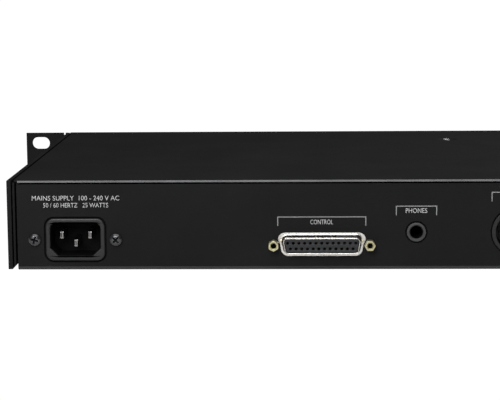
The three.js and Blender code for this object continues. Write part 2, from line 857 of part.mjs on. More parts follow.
// Seen from the side: two faces that meet in a shallow valley in front of the pivot.
function rocker() {
  const end = rockerHalf;
  const side = polygon([
    [-3, 0],
    [-4.4, end],
    [0.5, end],
    [3, 4],
    [3, -4],
    [0.5, -end],
    [-4.4, -end],
  ]);
  return runX(side, -rockerWidth / 2, rockerWidth / 2);
}

{
  const x = frontX("power");
  add("power_switch_body", switchBody(), inkBlack, 0.5, 0, [x, fasciaFace, controlHeight]);
  const pivotAt = [x, fasciaFace + rockerPivotDepth, controlHeight];
  const mesh = add("power_rocker", rocker(), 0x1a1a1b, 0.4, 0, pivotAt);
  mesh.rotation.x = rockerTilt; // its lower half pressed in: off
}

// ---------------------------------------------------------------- display and meter

const glazing = [
  ["display_window", "display", windowWidth, windowTall],
  ["meter_window", "meter", meterWidth, meterTall],
];

for (const [name, station, width, tall] of glazing) {
  const pane = runY(roundedRect(width, tall, windowCorner), 0.3, 0.3 + windowThickness);
  add(name, pane, 0x101418, 0.12, 0, [frontX(station), fasciaFace, controlHeight]);
}

const modules = [
  ["display_module", "display", windowWidth - 6, windowTall - 2, 0x30343a],
  ["meter_module", "meter", meterWidth - 4, meterTall - 3, 0x1b1b1d],
];

for (const [name, station, width, tall, colour] of modules) {
  const form = barY(width, tall, fasciaThickness - 0.8, fasciaThickness + frontBoardDepth - seat);
  add(name, form, colour, 0.4, 0.1, [frontX(station), fasciaFace, controlHeight]);
}

// ---------------------------------------------------------------- fascia

const at = (form, x, z, y = 0) => shift(form, x, y, z);

function fascia() {
  const half = fasciaHeight / 2;
  const plate = block(-fasciaHalf, fasciaHalf, 0, fasciaThickness, -half, half);
  const tools = [];
  for (const [, station, width, tall] of glazing) {
    const hole = roundedRect(width + 2 * glazingGap, tall + 2 * glazingGap, windowCorner + glazingGap);
    tools.push(at(runY(hole, -1, fasciaThickness + 1), frontX(station), 0));
  }
  for (const [, station] of knobs) {
    tools.push(at(rodY(bushRadius + seat, -1, fasciaThickness + 1, 16), frontX(station), 0));
  }
  const buttonHole = roundedRect(
    buttonWidth + 2 * runningGap,
    buttonTall + 2 * runningGap,
    buttonCorner + runningGap,
  );
  for (const [x, z] of buttonPlaces) {
    tools.push(at(runY(buttonHole, -1, fasciaThickness + 1, 1), x, z - controlHeight));
  }
  const switchHole = barY(switchBodyWidth + 2 * seat, switchBodyTall + 2 * seat, -1, fasciaThickness + 1);
  tools.push(at(switchHole, frontX("power"), 0));
  return cut(plate, ...tools);
}

add("front_fascia", fascia(), anodised, 0.45, 0.5, [0, fasciaFace, controlHeight]);

// ---------------------------------------------------------------- boards

const boardFarEnd = -(flangeInner - boardMargin);
const boardMainsEnd = flangeInner - boardMargin;
const boardGap = 2;

const mainBoard = {
  x0: boardFarEnd,
  x1: boardDivide - boardGap,
  y0: postY + postRadius + postToBoard,
  y1: rearFace - panelToBoard,
  top: mainBoardTop,
};

const powerBoard = {
  x0: boardDivide + boardGap,
  x1: boardMainsEnd,
  y0: frontBoardBack + powerBoardFromFront,
  y1: rearFace - panelToPowerBoard,
  top: powerBoardTop,
};

const middleX = (board) => (board.x0 + board.x1) / 2;
const middleY = (board) => (board.y0 + board.y1) / 2;

// The four screws' places on a board.
function boardCorners(board) {
  const places = [];
  for (const x of [board.x0 + boardScrewInset, board.x1 - boardScrewInset]) {
    for (const y of [board.y0 + boardScrewInset, board.y1 - boardScrewFromRear]) places.push([x, y]);
  }
  return places;
}

function board(sizes) {
  const panel = block(sizes.x0, sizes.x1, sizes.y0, sizes.y1, sizes.top - boardThickness, sizes.top);
  const hole = rodZ(boardHoleRadius, sizes.top - boardThickness - 1, sizes.top + 1, 8);
  return cut(panel, ...boardCorners(sizes).map(([x, y]) => shift(hole, x, y, 0)));
}

add("main_board", board(mainBoard), boardGreen, 0.5, 0.1);
add("power_board", board(powerBoard), 0x6b5a2c, 0.6, 0);

const processor = block(-chipSize / 2, chipSize / 2, -chipSize / 2, chipSize / 2, 0, chipThickness);
add("signal_processor", processor, inkBlack, 0.5, 0, [
  middleX(mainBoard),
  middleY(mainBoard),
  mainBoardTop + seat,
]);

// The front board carries a key switch behind each button.
function frontBoard() {
  const half = frontBoardTall / 2;
  const end = frontX("data") + potWidth;
  const start = frontX("input") - potWidth;
  const panel = block(start, end, 0, boardThickness, -half, half);
  const key = barY(buttonStem + 3, buttonStem + 3, -keySwitchTall, boardThickness / 2);
  return join(panel, ...buttonPlaces.map(([x, z]) => at(key, x, z - controlHeight)));
}

add("front_board", frontBoard(), boardGreen, 0.5, 0.1, [0, frontBoardFace, controlHeight]);

// A flat cable hangs from the front board and turns down to a header on the main board.
function ribbonCable() {
  const top = controlHeight - 6;
  const landing = mainBoardTop + 3;
  const start = frontBoardBack + seat;
  const end = mainBoard.y0 + 12;
  const route = new THREE.CatmullRomCurve3([
    new THREE.Vector3(0, start, top),
    new THREE.Vector3(0, start + 8, top + 1),
    new THREE.Vector3(0, (start + end) / 2, (top + landing) / 2 + 1),
    new THREE.Vector3(0, end - 8, landing + 0.5),
    new THREE.Vector3(0, end, landing),
  ]);
  const steps = 12;
  const upper = [];
  const lower = [];
  for (let i = 0; i <= steps; i += 1) {
    const point = route.getPointAt(i / steps);
    const along = route.getTangentAt(i / steps);
    const offset = ribbonThickness / 2;
    upper.push([point.y - along.z * offset, point.z + along.y * offset]);
    lower.unshift([point.y + along.z * offset, point.z - along.y * offset]);
  }
  const band = runX(polygon([...lower, ...upper]), -ribbonWidth / 2, ribbonWidth / 2);
  const half = ribbonWidth / 2 + ribbonHeaderMargin;
  const header = block(-half, half, end - 3, end + 3, mainBoardTop + seat, landing + 1.5);
  return join(band, header);
}

const ribbonX = coverScrewOffset + postRadius + ribbonToPost + ribbonHeaderMargin + ribbonWidth / 2;
add("ribbon_cable", ribbonCable(), 0x9a9a9c, 0.6, 0, [ribbonX, 0, 0]);

// ---------------------------------------------------------------- power supply

const supplyStart = powerBoard.y1 - transformerLength / 2 - supplyGap;
const supplyZ = powerBoardTop + seat;

function transformer() {
  const halfX = transformerWidth / 2;
  const halfY = transformerLength / 2;
  const core = block(-halfX, halfX, -halfY + 6, halfY - 6, 2, transformerTall);
  const bobbin = block(-halfX + 6, halfX - 6, -halfY, halfY, 0, transformerTall - 3);
  return join(core, bobbin);
}

function heatSink() {
  const half = heatSinkWidth / 2;
  const back = block(-half, half, 0, heatSinkThickness, 0, heatSinkTall);
  const fins = [];
  const pitch = (heatSinkWidth - heatSinkThickness) / (heatSinkFins - 1);
  for (let i = 0; i < heatSinkFins; i += 1) {
    const x = -half + i * pitch;
    fins.push(block(x, x + heatSinkThickness, 0, heatSinkFinDepth, 0, heatSinkTall));
  }
  return join(back, ...fins);
}

const supplyX = middleX(powerBoard);
const capacitorY = supplyStart - transformerLength / 2 - capacitorRadius - supplyGap;
const heatSinkY = capacitorY - capacitorRadius - heatSinkFinDepth - supplyGap;
const can = turnedZ(
  [
    [0, 0],
    [capacitorRadius, 0],
    [capacitorRadius, capacitorTall - 1],
    [capacitorRadius - 1, capacitorTall],
    [0, capacitorTall],
  ],
  20,
);

add("mains_transformer", transformer(), 0xb8a24a, 0.5, 0.1, [supplyX, supplyStart, supplyZ]);
add("reservoir_capacitor", can, 0x1f2a52, 0.4, 0.1, [supplyX, capacitorY, supplyZ]);
add("heat_sink", heatSink(), 0x9a9ca0, 0.45, 0.8, [supplyX, heatSinkY, supplyZ]);

// Two insulated wires run from the inlet's tails to the power board.
function mainsWire(tail, landing) {
  const from = new THREE.Vector3(tail[0], tail[1], tail[2]);
  const to = new THREE.Vector3(landing[0], landing[1], landing[2]);
  const route = new THREE.CatmullRomCurve3([
    from,
    from.clone().add(new THREE.Vector3(0, -3, 0)),
    to.clone().add(new THREE.Vector3(0, 0, 5)),
    to,
  ]);
  const section = new THREE.Shape();
  section.absarc(0, 0, wireRadius, 0, 2 * Math.PI);
  return solid(new THREE.ExtrudeGeometry(section, { steps: 8, curveSegments: 4, extrudePath: route }));
}

for (const [name, x, z] of inletPins) {
  if (name === "earth") continue;
  const tail = [rearX("inlet") + x, rearFace + inletBodyBack - inletTail - seat, inletHeight + z];
  const landing = [tail[0], powerBoard.y1 - 3, powerBoardTop + 2 * seat];
  add(`mains_wire_${name}`, mainsWire(tail, landing), name === "live" ? 0x6a3b1e : 0x2c4c8c, 0.6, 0);
}

// ---------------------------------------------------------------- casing

const postTop = coverUnder - dimpleDepth - seat;

// Floor and rear panel are one folded sheet, with a flange up each side and a wall at the front.
// Studs pressed into the floor carry the boards, and a tall one takes the cover's screw.
function tray() {
  const r = trayBendRadius;
  const t = sheetThickness;
  const floorEnd = rearFace - reliefLength;
  const fold = new THREE.Shape();
  fold.moveTo(floorEnd - t, 0);
  fold.absarc(rearFace - r, r, r, -Math.PI / 2, 0);
  fold.lineTo(rearFace, panelTop);
  fold.lineTo(panelInner, panelTop);
  fold.absarc(rearFace - r, r, r - t, 0, -Math.PI / 2, true);
  fold.lineTo(floorEnd - t, t);
  const blank = block(-trayHalf, trayHalf, trayFront, rearFace - flangeSetback, 0, wallTop);
  const inside = block(-flangeInner, flangeInner, trayFront + t, rearFace, t, wallTop + 1);
  const floorGap = block(-flangeInner, flangeInner, floorEnd, rearFace, -1, t + 1);
  const studs = [mainBoard, powerBoard].flatMap((sizes) => {
    const stud = rodZ(standoffRadius, t / 2, sizes.top - boardThickness - seat, 8);
    return boardCorners(sizes).map(([x, y]) => shift(stud, x, y, 0));
  });
  const post = shift(rodZ(postRadius, t / 2, postTop, 16), coverScrewOffset, postY, 0);
  const thread = rodZ(screwShankRadius + seat, postTop - postThread, postTop + 1, 12);
  const shell = join(cut(blank, inside, floorGap), runX(fold, -panelHalf, panelHalf), ...studs, post);
  const threadHole = shift(thread, coverScrewOffset, postY, 0);
  const past = 0.5;
  const corner = polygon([
    [flangeInner - past, -1],
    [trayHalf + past, -1],
    [trayHalf + past, flangeCornerLow],
    [flangeInner - past, flangeCornerHigh],
  ]);
  const cornerCut = runY(corner, floorEnd + past, rearFace + 1);
  const corners = [cornerCut, cornerCut.mirror([1, 0, 0])];
  return cut(shell, threadHole, ...corners, ...rearCuts(), ...frontCuts());
}

function rearCuts() {
  const y0 = -sheetThickness - 1;
  const y1 = 1;
  const tools = [];
  const put = (form, x, z) => tools.push(shift(form, x, rearFace, z));
  const grow = 2 * inletCutGap;
  const inletCut = roundedRect(inletWidth + grow, inletTall + grow, inletCorner + inletCutGap);
  put(runY(inletCut, y0, y1), rearX("inlet"), inletHeight);
  const screwHole = rodY(screwHoleRadius, y0, y1, 16);
  for (const sign of [1, -1]) {
    put(screwHole, rearX("inlet") + (sign * inletScrewPitch) / 2, inletHeight);
    put(screwHole, rearX("remote") + (sign * jackscrewPitch) / 2, remoteHeight);
  }
  put(runY(dOutline(remoteCutWidth, remoteCutTall, remoteCutCorner), y0, y1), rearX("remote"), remoteHeight);
  put(rodY(monitorRingRadius + monitorCutGap, y0, y1, 24), rearX("monitor"), monitorHeight);
  const bossHalf = latchBossHalf + audioCutGap;
  const bossCut = block(-bossHalf, bossHalf, y0, y1, 0, latchBossTop + audioCutGap);
  for (let index = 0; index < audioCount; index += 1) {
    put(rodY(audioCutRadius, y0, y1, 32), audioX(index), audioHeight);
    if (!isOutput(index)) put(bossCut, audioX(index), audioHeight);
  }
  for (let index = 0; index < midiCount; index += 1) {
    put(rodY(midiCutRadius, y0, y1, 24), midiX(index), audioHeight);
  }
  return tools;
}

// The front wall is open behind everything that passes through the fascia.
function frontCuts() {
  const clear = 1.5;
  const openings = [
    [frontX("display"), windowWidth, windowTall],
    [frontX("meter"), meterWidth, meterTall],
    [frontX("power"), switchBodyWidth, switchBodyTall],
    [frontX("input"), potWidth, potWidth],
    [frontX("output"), potWidth, potWidth],
    [frontX("data"), potWidth, potWidth],
  ];
  const groupTall = (buttonRows - 1) * buttonPitchZ + buttonTall + 2 * buttonFlange;
  openings.push([frontX("buttons"), buttonRowWidth + 2 * buttonFlange, groupTall]);
  return openings.map(([x, width, tall]) => {
    const tool = barY(width + 2 * clear, tall + 2 * clear, -1, sheetThickness + 1);
    return shift(tool, x, trayFront, controlHeight);
  });
}

add("base_tray", tray(), enamel, 0.6, 0.3);

function cover() {
  const half = bodyWidth / 2 - coverInset;
  const front = fasciaBack + seat;
  const top = block(-half, half, front, rearFace, coverUnder, bodyHeight);
  const lipOuter = flangeInner - coverLipGap;
  const lipInner = lipOuter - sheetThickness;
  const lipFront = trayFront + sheetThickness + 2;
  const lipBack = panelInner - 3;
  const lip = block(lipInner, lipOuter, lipFront, lipBack, coverUnder - coverLipHeight, bodyHeight);
  const farLip = block(-lipOuter, -lipInner, lipFront, lipBack, coverUnder - coverLipHeight, bodyHeight);
  const notchFront = rearFace - coverNotchLength;
  const notch = (x0, x1) => block(x0, x1, notchFront, rearFace + 1, coverUnder - 1, bodyHeight + 1);
  const hole = rodZ(dimpleRadius, coverUnder - 1, bodyHeight + 1, 28);
  const dish = turnedZ(
    [
      [screwHoleRadius, bodyHeight - dimpleDepth],
      [dimpleFloorRadius, bodyHeight - dimpleDepth],
      [dimpleRadius - 0.2, bodyHeight],
      [dimpleRadius + 0.6, bodyHeight],
      [dimpleRadius + 0.6, coverUnder],
      [dimpleRadius, coverUnder],
      [dimpleFloorRadius + 0.4, coverUnder - dimpleDepth],
      [screwHoleRadius, coverUnder - dimpleDepth],
      [screwHoleRadius, bodyHeight - dimpleDepth],
    ],
    28,
  );
  const sheet = cut(
    join(top, lip, farLip),
    notch(half - coverNotchWidth, half + 1),
    notch(-half - 1, -half + coverNotchWidth),
    shift(hole, coverScrewOffset, postY, 0),
  );
  return join(sheet, shift(dish, coverScrewOffset, postY, 0));
}

add("top_cover", cover(), enamel, 0.5, 0.3);

// The cover's screw sits below the cover's face, in the dimple.
function coverScrew() {
  const head = bodyHeight - dimpleDepth + seat;
  const screw = turnedZ(
    [
      [0, head - 10],
      [screwShankRadius, head - 10],
      [screwShankRadius, head],
      [coverScrewHeadRadius, head],
      [coverScrewHeadRadius, head + 0.6],
      [2, head + 0.9],
      [0, head + 0.9],
    ],
    14,
  );
  const arm = 0.4;
  const reach = 1.6;
  return cut(
    screw,
    block(-arm, arm, -reach, reach, head + 0.3, head + 2),
    block(-reach, reach, -arm, arm, head + 0.3, head + 2),
  );
}

add("cover_screw", coverScrew(), 0x2b2b2e, 0.35, 0.8, [coverScrewOffset, postY, 0]);

// A side plate seen from above, its ear folded outwards. Drawn for the mains end.
function sidePlate() {
  const outer = bodyWidth / 2;
  const r = earBendRadius;
  const t = plateThickness;
  const plan = new THREE.Shape();
  plan.moveTo(outer + earReach, earFront);
  plan.lineTo(outer + earReach, earFront + t);
  plan.absarc(outer + r, earFront + t + r, r, 1.5 * Math.PI, Math.PI, true);
  plan.lineTo(outer, rearFace - plateSetback);
  plan.lineTo(outer - t, rearFace - plateSetback);
  plan.absarc(outer + r, earFront + t + r, r + t, Math.PI, 1.5 * Math.PI);
  const plate = runZ(plan, plateLift, plateLift + plateHeight);
  const slotX = outer + earReach - slotFromEdge;
  const middleZ = plateLift + plateHeight / 2;
  const slotShape = roundedRect(slotLength, slotWidth, slotWidth / 2 - 0.01);
  const slot = runY(slotShape, earFront - 1, earFront + t + 1, 4);
  const reliefX = outer + r;
  const relief = block(
    reliefX,
    reliefX + bendReliefWidth,
    earFront - 1,
    earFront + t + 1,
    plateLift + plateHeight - bendReliefDepth,
    plateLift + plateHeight + 1,
  );
  const lowerRelief = shift(relief, 0, 0, -plateHeight + bendReliefDepth - 1);
  return cut(
    plate,
    shift(slot, slotX, 0, middleZ + slotPitch / 2),
    shift(slot, slotX, 0, middleZ - slotPitch / 2),
    relief,
    lowerRelief,
  );
}

const mainsPlate = sidePlate();
add("side_plate_mains", mainsPlate, enamel, 0.55, 0.3);
add("side_plate_far", mainsPlate.mirror([1, 0, 0]), enamel, 0.55, 0.3);

export default unit;
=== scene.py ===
"""A one-unit rack effects processor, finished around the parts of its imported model.

Everything is drawn in millimetres in the part's own frame and put into the scene in metres:
+X points to the mains end, +Y out of the rear panel and +Z up.
"""

import json
import math

import bmesh
import bpy
from bpy.props import FloatProperty, FloatVectorProperty, PointerProperty
from mathutils import Matrix, Vector
from mathutils.geometry import tessellate_polygon

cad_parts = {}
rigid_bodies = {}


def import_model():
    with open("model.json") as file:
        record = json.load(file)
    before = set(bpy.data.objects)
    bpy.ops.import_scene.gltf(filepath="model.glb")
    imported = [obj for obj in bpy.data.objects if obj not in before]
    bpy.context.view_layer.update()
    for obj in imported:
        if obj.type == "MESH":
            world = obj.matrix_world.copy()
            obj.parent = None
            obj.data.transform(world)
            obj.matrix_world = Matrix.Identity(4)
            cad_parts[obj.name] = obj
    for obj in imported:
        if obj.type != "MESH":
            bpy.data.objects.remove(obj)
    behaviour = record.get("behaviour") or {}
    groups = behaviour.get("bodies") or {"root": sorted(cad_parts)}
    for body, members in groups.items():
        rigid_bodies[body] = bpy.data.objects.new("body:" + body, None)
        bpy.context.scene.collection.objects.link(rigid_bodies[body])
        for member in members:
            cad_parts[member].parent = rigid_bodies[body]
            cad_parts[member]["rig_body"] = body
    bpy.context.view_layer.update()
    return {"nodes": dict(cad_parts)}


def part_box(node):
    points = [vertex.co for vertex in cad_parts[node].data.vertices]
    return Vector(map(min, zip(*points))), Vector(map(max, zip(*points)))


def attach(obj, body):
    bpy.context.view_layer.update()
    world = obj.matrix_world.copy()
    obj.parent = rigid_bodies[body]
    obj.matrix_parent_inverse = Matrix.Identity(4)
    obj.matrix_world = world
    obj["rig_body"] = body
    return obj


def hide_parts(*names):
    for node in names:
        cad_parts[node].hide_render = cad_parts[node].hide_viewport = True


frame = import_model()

bl_info = {
    "name": "Rack Effects Unit",
    "version": (1, 0, 0),
    "blender": (4, 5, 0),
    "location": "View3D > Sidebar > Rack Unit",
    "description": "Builds the finished pieces of a one-unit rack effects processor",
    "category": "Object",
}

MM = 0.001
CASING = "casing"
FINE = 64  # sides of a round piece that is looked at closely
COARSE = 24  # sides of a small or hidden round piece


def span(node):
    """A node's lowest and highest corners, in millimetres."""
    low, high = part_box(node)
    return low / MM, high / MM


def middle(node):
    """The middle of a node's box, in millimetres."""
    low, high = span(node)
    return (low + high) / 2


# ---------------------------------------------------------------- forms


class Form:
    """A closed body as points, in millimetres, and faces."""

    def __init__(self, points=(), faces=()):
        self.points = [Vector(point) for point in points]
        self.faces = [tuple(face) for face in faces]

    def __add__(self, other):
        start = len(self.points)
        faces = [tuple(start + index for index in face) for face in other.faces]
        return Form(self.points + other.points, self.faces + faces)

    def moved(self, x=0.0, y=0.0, z=0.0):
        return Form([point + Vector((x, y, z)) for point in self.points], self.faces)

    def turned(self, degrees, axis="Y"):
        turn = Matrix.Rotation(math.radians(degrees), 3, axis)
        return Form([turn @ point for point in self.points], self.faces)

    def along_z(self):
        """The same body drawn in X and Y, and run along Z."""
        return Form([(point.x, point.z, point.y) for point in self.points], self.faces)

    def along_x(self):
        """The same body drawn in Y and Z, and run along X."""
        return Form([(point.y, point.x, point.z) for point in self.points], self.faces)


def together(forms):
    """Several forms as one."""
    whole = Form()
    for form in forms:
        whole = whole + form
    return whole


def circle(radius, sides=FINE, x=0.0, z=0.0):
    """A round loop, anticlockwise."""
    turns = [math.tau * index / sides for index in range(sides)]
    return [Vector((x + radius * math.cos(turn), z + radius * math.sin(turn))) for turn in turns]


def arc(centre, radius, start, end, steps):
    """Points of an arc between two angles in degrees."""
    turns = [math.radians(start + (end - start) * index / steps) for index in range(steps + 1)]
    return [(centre[0] + radius * math.cos(turn), centre[1] + radius * math.sin(turn)) for turn in turns]


def rounded(corners, radii, steps=6, is_open=False):
    """A line through the corners, each rounded by its radius."""
    corners = [Vector(corner) for corner in corners]
    if not hasattr(radii, "__len__"):
        radii = [radii] * len(corners)
    line = []
    for index, (corner, radius) in enumerate(zip(corners, radii)):
        at_end = is_open and index in (0, len(corners) - 1)
        if at_end or radius <= 0:
            line.append(corner)
            continue
        back = corners[index - 1] - corner
        ahead = corners[(index + 1) % len(corners)] - corner
        half = back.angle(ahead) / 2
        reach = min(radius / math.tan(half), 0.499 * back.length, 0.499 * ahead.length)
        bend = reach * math.tan(half)
        centre = corner + (back.normalized() + ahead.normalized()).normalized() * (bend / math.sin(half))
        first = corner + back.normalized() * reach - centre
        last = corner + ahead.normalized() * reach - centre
        sweep = math.atan2(first.x * last.y - first.y * last.x, first.dot(last))
        for step in range(steps + 1):
            line.append(centre + Matrix.Rotation(sweep * step / steps, 2) @ first)
    return line


def anticlockwise(loop):
    """The loop, turned round if it runs clockwise."""
    area = sum(here.x * loop[index - 1].y - loop[index - 1].x * here.y for index, here in enumerate(loop))
    return list(loop) if area < 0 else list(reversed(loop))


def rectangle(width, tall, radius=0.0, x=0.0, z=0.0, steps=6):
    """A rectangle with round corners, centred on a point."""
    half, up = width / 2, tall / 2
    corners = [(x + half, z + up), (x - half, z + up), (x - half, z - up), (x + half, z - up)]
    return anticlockwise(rounded(corners, radius, steps))


def d_shape(width, tall, radius, slope=10.0, steps=6):
    """The outline of a D connector, wide side up, with sloping ends."""
    lean = tall * math.tan(math.radians(slope)) / 2
    top, bottom = width / 2, width / 2 - 2 * lean
    corners = [(top, tall / 2), (-top, tall / 2), (-bottom, -tall / 2), (bottom, -tall / 2)]
    return anticlockwise(rounded(corners, radius, steps))


def grown(loop, by):
    """An anticlockwise loop, moved outwards by a distance."""
    if not by:
        return loop
    result = []
    for index, here in enumerate(loop):
        before = (here - loop[index - 1]).normalized()
        after = (loop[(index + 1) % len(loop)] - here).normalized()
        along = (before + after).normalized()
        normal = Vector((along.y, -along.x))
        result.append(here + normal * (by / max(normal.dot(Vector((after.y, -after.x))), 0.4)))
    return result


def bands(rings, count, closes):
    """Faces that join equal rings of points, one after the other."""
    faces = []
    for ring in range(rings if closes else rings - 1):
        near, far = ring * count, (ring + 1) % rings * count
        for index in range(count):
            after = (index + 1) % count
            faces.append((near + index, near + after, far + after, far + index))
    return faces


def swept(loop, profile, hollow=False):
    """A loop drawn in X and Z, grown at each step of a profile of (growth, y) pairs.

    A hollow body's profile closes on itself. Any other body is capped at both ends.
    """
    points = [(x, y, z) for growth, y in profile for x, z in grown(loop, growth)]
    count = len(loop)
    faces = bands(len(profile), count, hollow)
    if not hollow:
        faces += [tuple(range(count)), tuple(range(len(points) - count, len(points)))]
    return Form(points, faces)


def lathed(profile, sides=FINE):
    """A body turned about the Y axis from (radius, y) points, which start and end on the axis or close up."""
    points, rings = [], []
    for radius, y in profile:
        if radius < 1e-6:
            rings.append([len(points)])
            points.append((0, y, 0))
            continue
        rings.append(list(range(len(points), len(points) + sides)))
        points += [(x, y, z) for x, z in circle(radius, sides)]
    on_axis = len(rings[0]) == 1
    faces = []
    for near, far in zip(rings, rings[1:] + ([] if on_axis else rings[:1])):
        for index in range(sides):
            after = (index + 1) % sides
            if len(near) == 1:
                faces.append((near[0], far[after], far[index]))
            elif len(far) == 1:
                faces.append((near[index], near[after], far[0]))
            else:
                faces.append((near[index], near[after], far[after], far[index]))
    return Form(points, faces)


def rod(radius, low, high, edge=0.0, sides=FINE):
    """A round bar along Y with rounded ends."""
    corners = [(0, low), (radius, low), (radius, high), (0, high)]
    return lathed(rounded(corners, edge, 3, is_open=True), sides)


def eased_ends(low, high, edge, steps):
    """(inset, y) pairs from one end of a plate to the other, its rims rounded by one radius or by two."""
    first, last = edge if hasattr(edge, "__len__") else (edge, edge)
    turns = [index / steps * math.pi / 2 for index in range(steps + 1)]
    near = [(first * (1 - math.sin(turn)), low + first * (1 - math.cos(turn))) for turn in turns]
    far = [(last * (1 - math.sin(turn)), high - last * (1 - math.cos(turn))) for turn in reversed(turns)]
    return (near if first else [(0, low)]) + (far if last else [(0, high)])


def slab(loops, low, high, edge=0.0, steps=3):
    """A plate between two values of y. The first loop is its rim and the others are holes."""
    profile = eased_ends(low, high, edge, steps)
    points, faces, caps, outlines = [], [], ([], []), []
    for index, loop in enumerate(loops):
        inward = 1 if index else -1
        start, count = len(points), len(loop)
        rings = [grown(anticlockwise(loop), inward * inset) for inset, _ in profile]
        points += [(x, y, z) for ring, (_, y) in zip(rings, profile) for x, z in ring]
        faces += [tuple(start + corner for corner in face) for face in bands(len(profile), count, False)]
        caps[0].extend(range(start, start + count))
        caps[1].extend(range(start + count * (len(profile) - 1), start + count * len(profile)))
        outlines.append([Vector((x, z, 0)) for x, z in rings[0]])
    for triangle in tessellate_polygon(outlines):
        faces += [tuple(cap[corner] for corner in triangle) for cap in caps]
    return Form(points, faces)


def brick(x0, x1, y0, y1, z0, z1, edge=0.3, steps=2):
    """A block with rounded edges."""
    outline = rectangle(x1 - x0, z1 - z0, edge, (x0 + x1) / 2, (z0 + z1) / 2, steps)
    return slab([outline], y0, y1, edge, steps)


def block(centre, width, depth, tall, edge=0.3, steps=2):
    """The same about a centre."""
    x, y, z = centre
    return brick(x - width / 2, x + width / 2, y - depth / 2, y + depth / 2, z - tall / 2, z + tall / 2, edge,
                 steps)


# ---------------------------------------------------------------- from forms to pieces


def put_in_scene(name, data):
    made = bpy.data.objects.new(name, data)
    bpy.context.scene.collection.objects.link(made)
    return made


def clean_mesh(name, form, scale=1.0):
    """A mesh of the form with its faces pointing out."""
    mesh = bpy.data.meshes.new(name)
    mesh.from_pydata([point * scale for point in form.points], [], form.faces)
    edit = bmesh.new()
    edit.from_mesh(mesh)
    bmesh.ops.recalc_face_normals(edit, faces=edit.faces)
    edit.to_mesh(mesh)
    edit.free()
    return mesh


def flattened(piece, name=None):
    """The piece with its modifiers made part of a plain mesh."""
    graph = bpy.context.evaluated_depsgraph_get()
    graph.update()
    mesh = bpy.data.meshes.new_from_object(
        piece.evaluated_get(graph), preserve_all_data_layers=True, depsgraph=graph
    )
    made = put_in_scene(name or piece.name, mesh)
    label = piece.name
    bpy.data.objects.remove(piece)
    made.name = name or label
    mesh.name = made.name
    return made


def combined(form, tool, operation="DIFFERENCE"):
    """One form cut by, joined with or kept inside another."""
    work = put_in_scene("work", clean_mesh("work", form))
    other = put_in_scene("tool", clean_mesh("tool", tool))
    step = work.modifiers.new("Combine", "BOOLEAN")
    step.solver = "EXACT"
    step.operation = operation
    step.object = other
    result = flattened(work)
    points = [vertex.co.copy() for vertex in result.data.vertices]
    faces = [tuple(face.vertices) for face in result.data.polygons]
    bpy.data.objects.remove(result)
    bpy.data.objects.remove(other)
    return Form(points, faces)


def cad_form(node):
    """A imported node's own form, with its corners joined and its flat faces whole."""
    edit = bmesh.new()
    edit.from_mesh(frame["nodes"][node].data)
    bmesh.ops.remove_doubles(edit, verts=edit.verts, dist=2e-6)
    bmesh.ops.dissolve_limit(edit, angle_limit=math.radians(0.4), verts=edit.verts, edges=edit.edges)
    form = Form([vertex.co / MM for vertex in edit.verts],
                [[v.index for v in face.verts] for face in edit.faces])
    edit.free()
    return form


def mark_edges(mesh, where):
    """Gives each sharp outer edge that where() accepts a full bevel weight."""
    edit = bmesh.new()
    edit.from_mesh(mesh)
    bmesh.ops.dissolve_limit(edit, angle_limit=math.radians(0.4), verts=edit.verts, edges=edit.edges)
    weights = edit.edges.layers.float.new("bevel_weight_edge")
    for edge in edit.edges:
        if len(edge.link_faces) == 2 and edge.calc_face_angle_signed() > math.radians(38):
            place = (edge.verts[0].co + edge.verts[1].co) / (2 * MM)
            edge[weights] = float(where(place))
    edit.to_mesh(mesh)
    edit.free()


def build(name, parts, bevel=0.0, where=lambda place: True, sharp=40.0, segments=3):
    """One object from (form, material) pairs, with its sharp edges eased and its shading set."""
    mesh = clean_mesh(name, together(form for form, _ in parts), MM)
    finishes = list(dict.fromkeys(finish for _, finish in parts))
    for finish in finishes:
        mesh.materials.append(finish)
    places = [finishes.index(finish) for form, finish in parts for _ in form.faces]
    mesh.polygons.foreach_set("material_index", places)
    if bevel:
        mark_edges(mesh, where)
    mesh.shade_smooth()
    mesh.set_sharp_from_angle(angle=math.radians(sharp))
    piece = put_in_scene(name, mesh)
    if bevel:
        ease = piece.modifiers.new("Ease", "BEVEL")
        ease.limit_method = "WEIGHT"
        ease.width = bevel * MM
        ease.segments = segments
    shade = piece.modifiers.new("Shade", "WEIGHTED_NORMAL")
    shade.keep_sharp = True
    return flattened(piece)


def settle(piece, body=CASING, nodes=()):
    """The piece moves with its body and stands for its nodes."""
    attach(piece, body)
    if nodes:
        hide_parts(*nodes)
    return piece


def body_of(node):
    """The body that a node belongs to."""
    return frame["nodes"][node]["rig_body"]


# ---------------------------------------------------------------- node trees


class Nodes:
    """Adds nodes to a tree with their settings, values and links in one call."""

    def __init__(self, tree):
        self.tree = tree

    def add(self, kind, inputs=None, **settings):
        node = self.tree.nodes.new(kind)
        for key, value in settings.items():
            setattr(node, key, value)
        for key, value in (inputs or {}).items():
            if isinstance(value, bpy.types.NodeSocket):
                self.tree.links.new(value, node.inputs[key])
            else:
                node.inputs[key].default_value = value
        return node

    def math(self, operation, first, second=0.0, clamp=False):
        node = self.add("ShaderNodeMath", {0: first, 1: second}, operation=operation, use_clamp=clamp)
        return node.outputs[0]

    def vector(self, operation, first, second):
        node = self.add("ShaderNodeVectorMath", {0: first, 1: second}, operation=operation)
        return node.outputs["Value" if operation == "DOT_PRODUCT" else "Vector"]

    def remap(self, value, low, high, to_low=0.0, to_high=1.0):
        names = ("Value", "From Min", "From Max", "To Min", "To Max")
        values = dict(zip(names, (value, low, high, to_low, to_high)))
        return self.add("ShaderNodeMapRange", values).outputs[0]

    def blend(self, share, first, second):
        """One colour over another by a mask."""
        node = self.add("ShaderNodeMix", {0: share, 6: first, 7: second}, data_type="RGBA")
        return node.outputs[2]


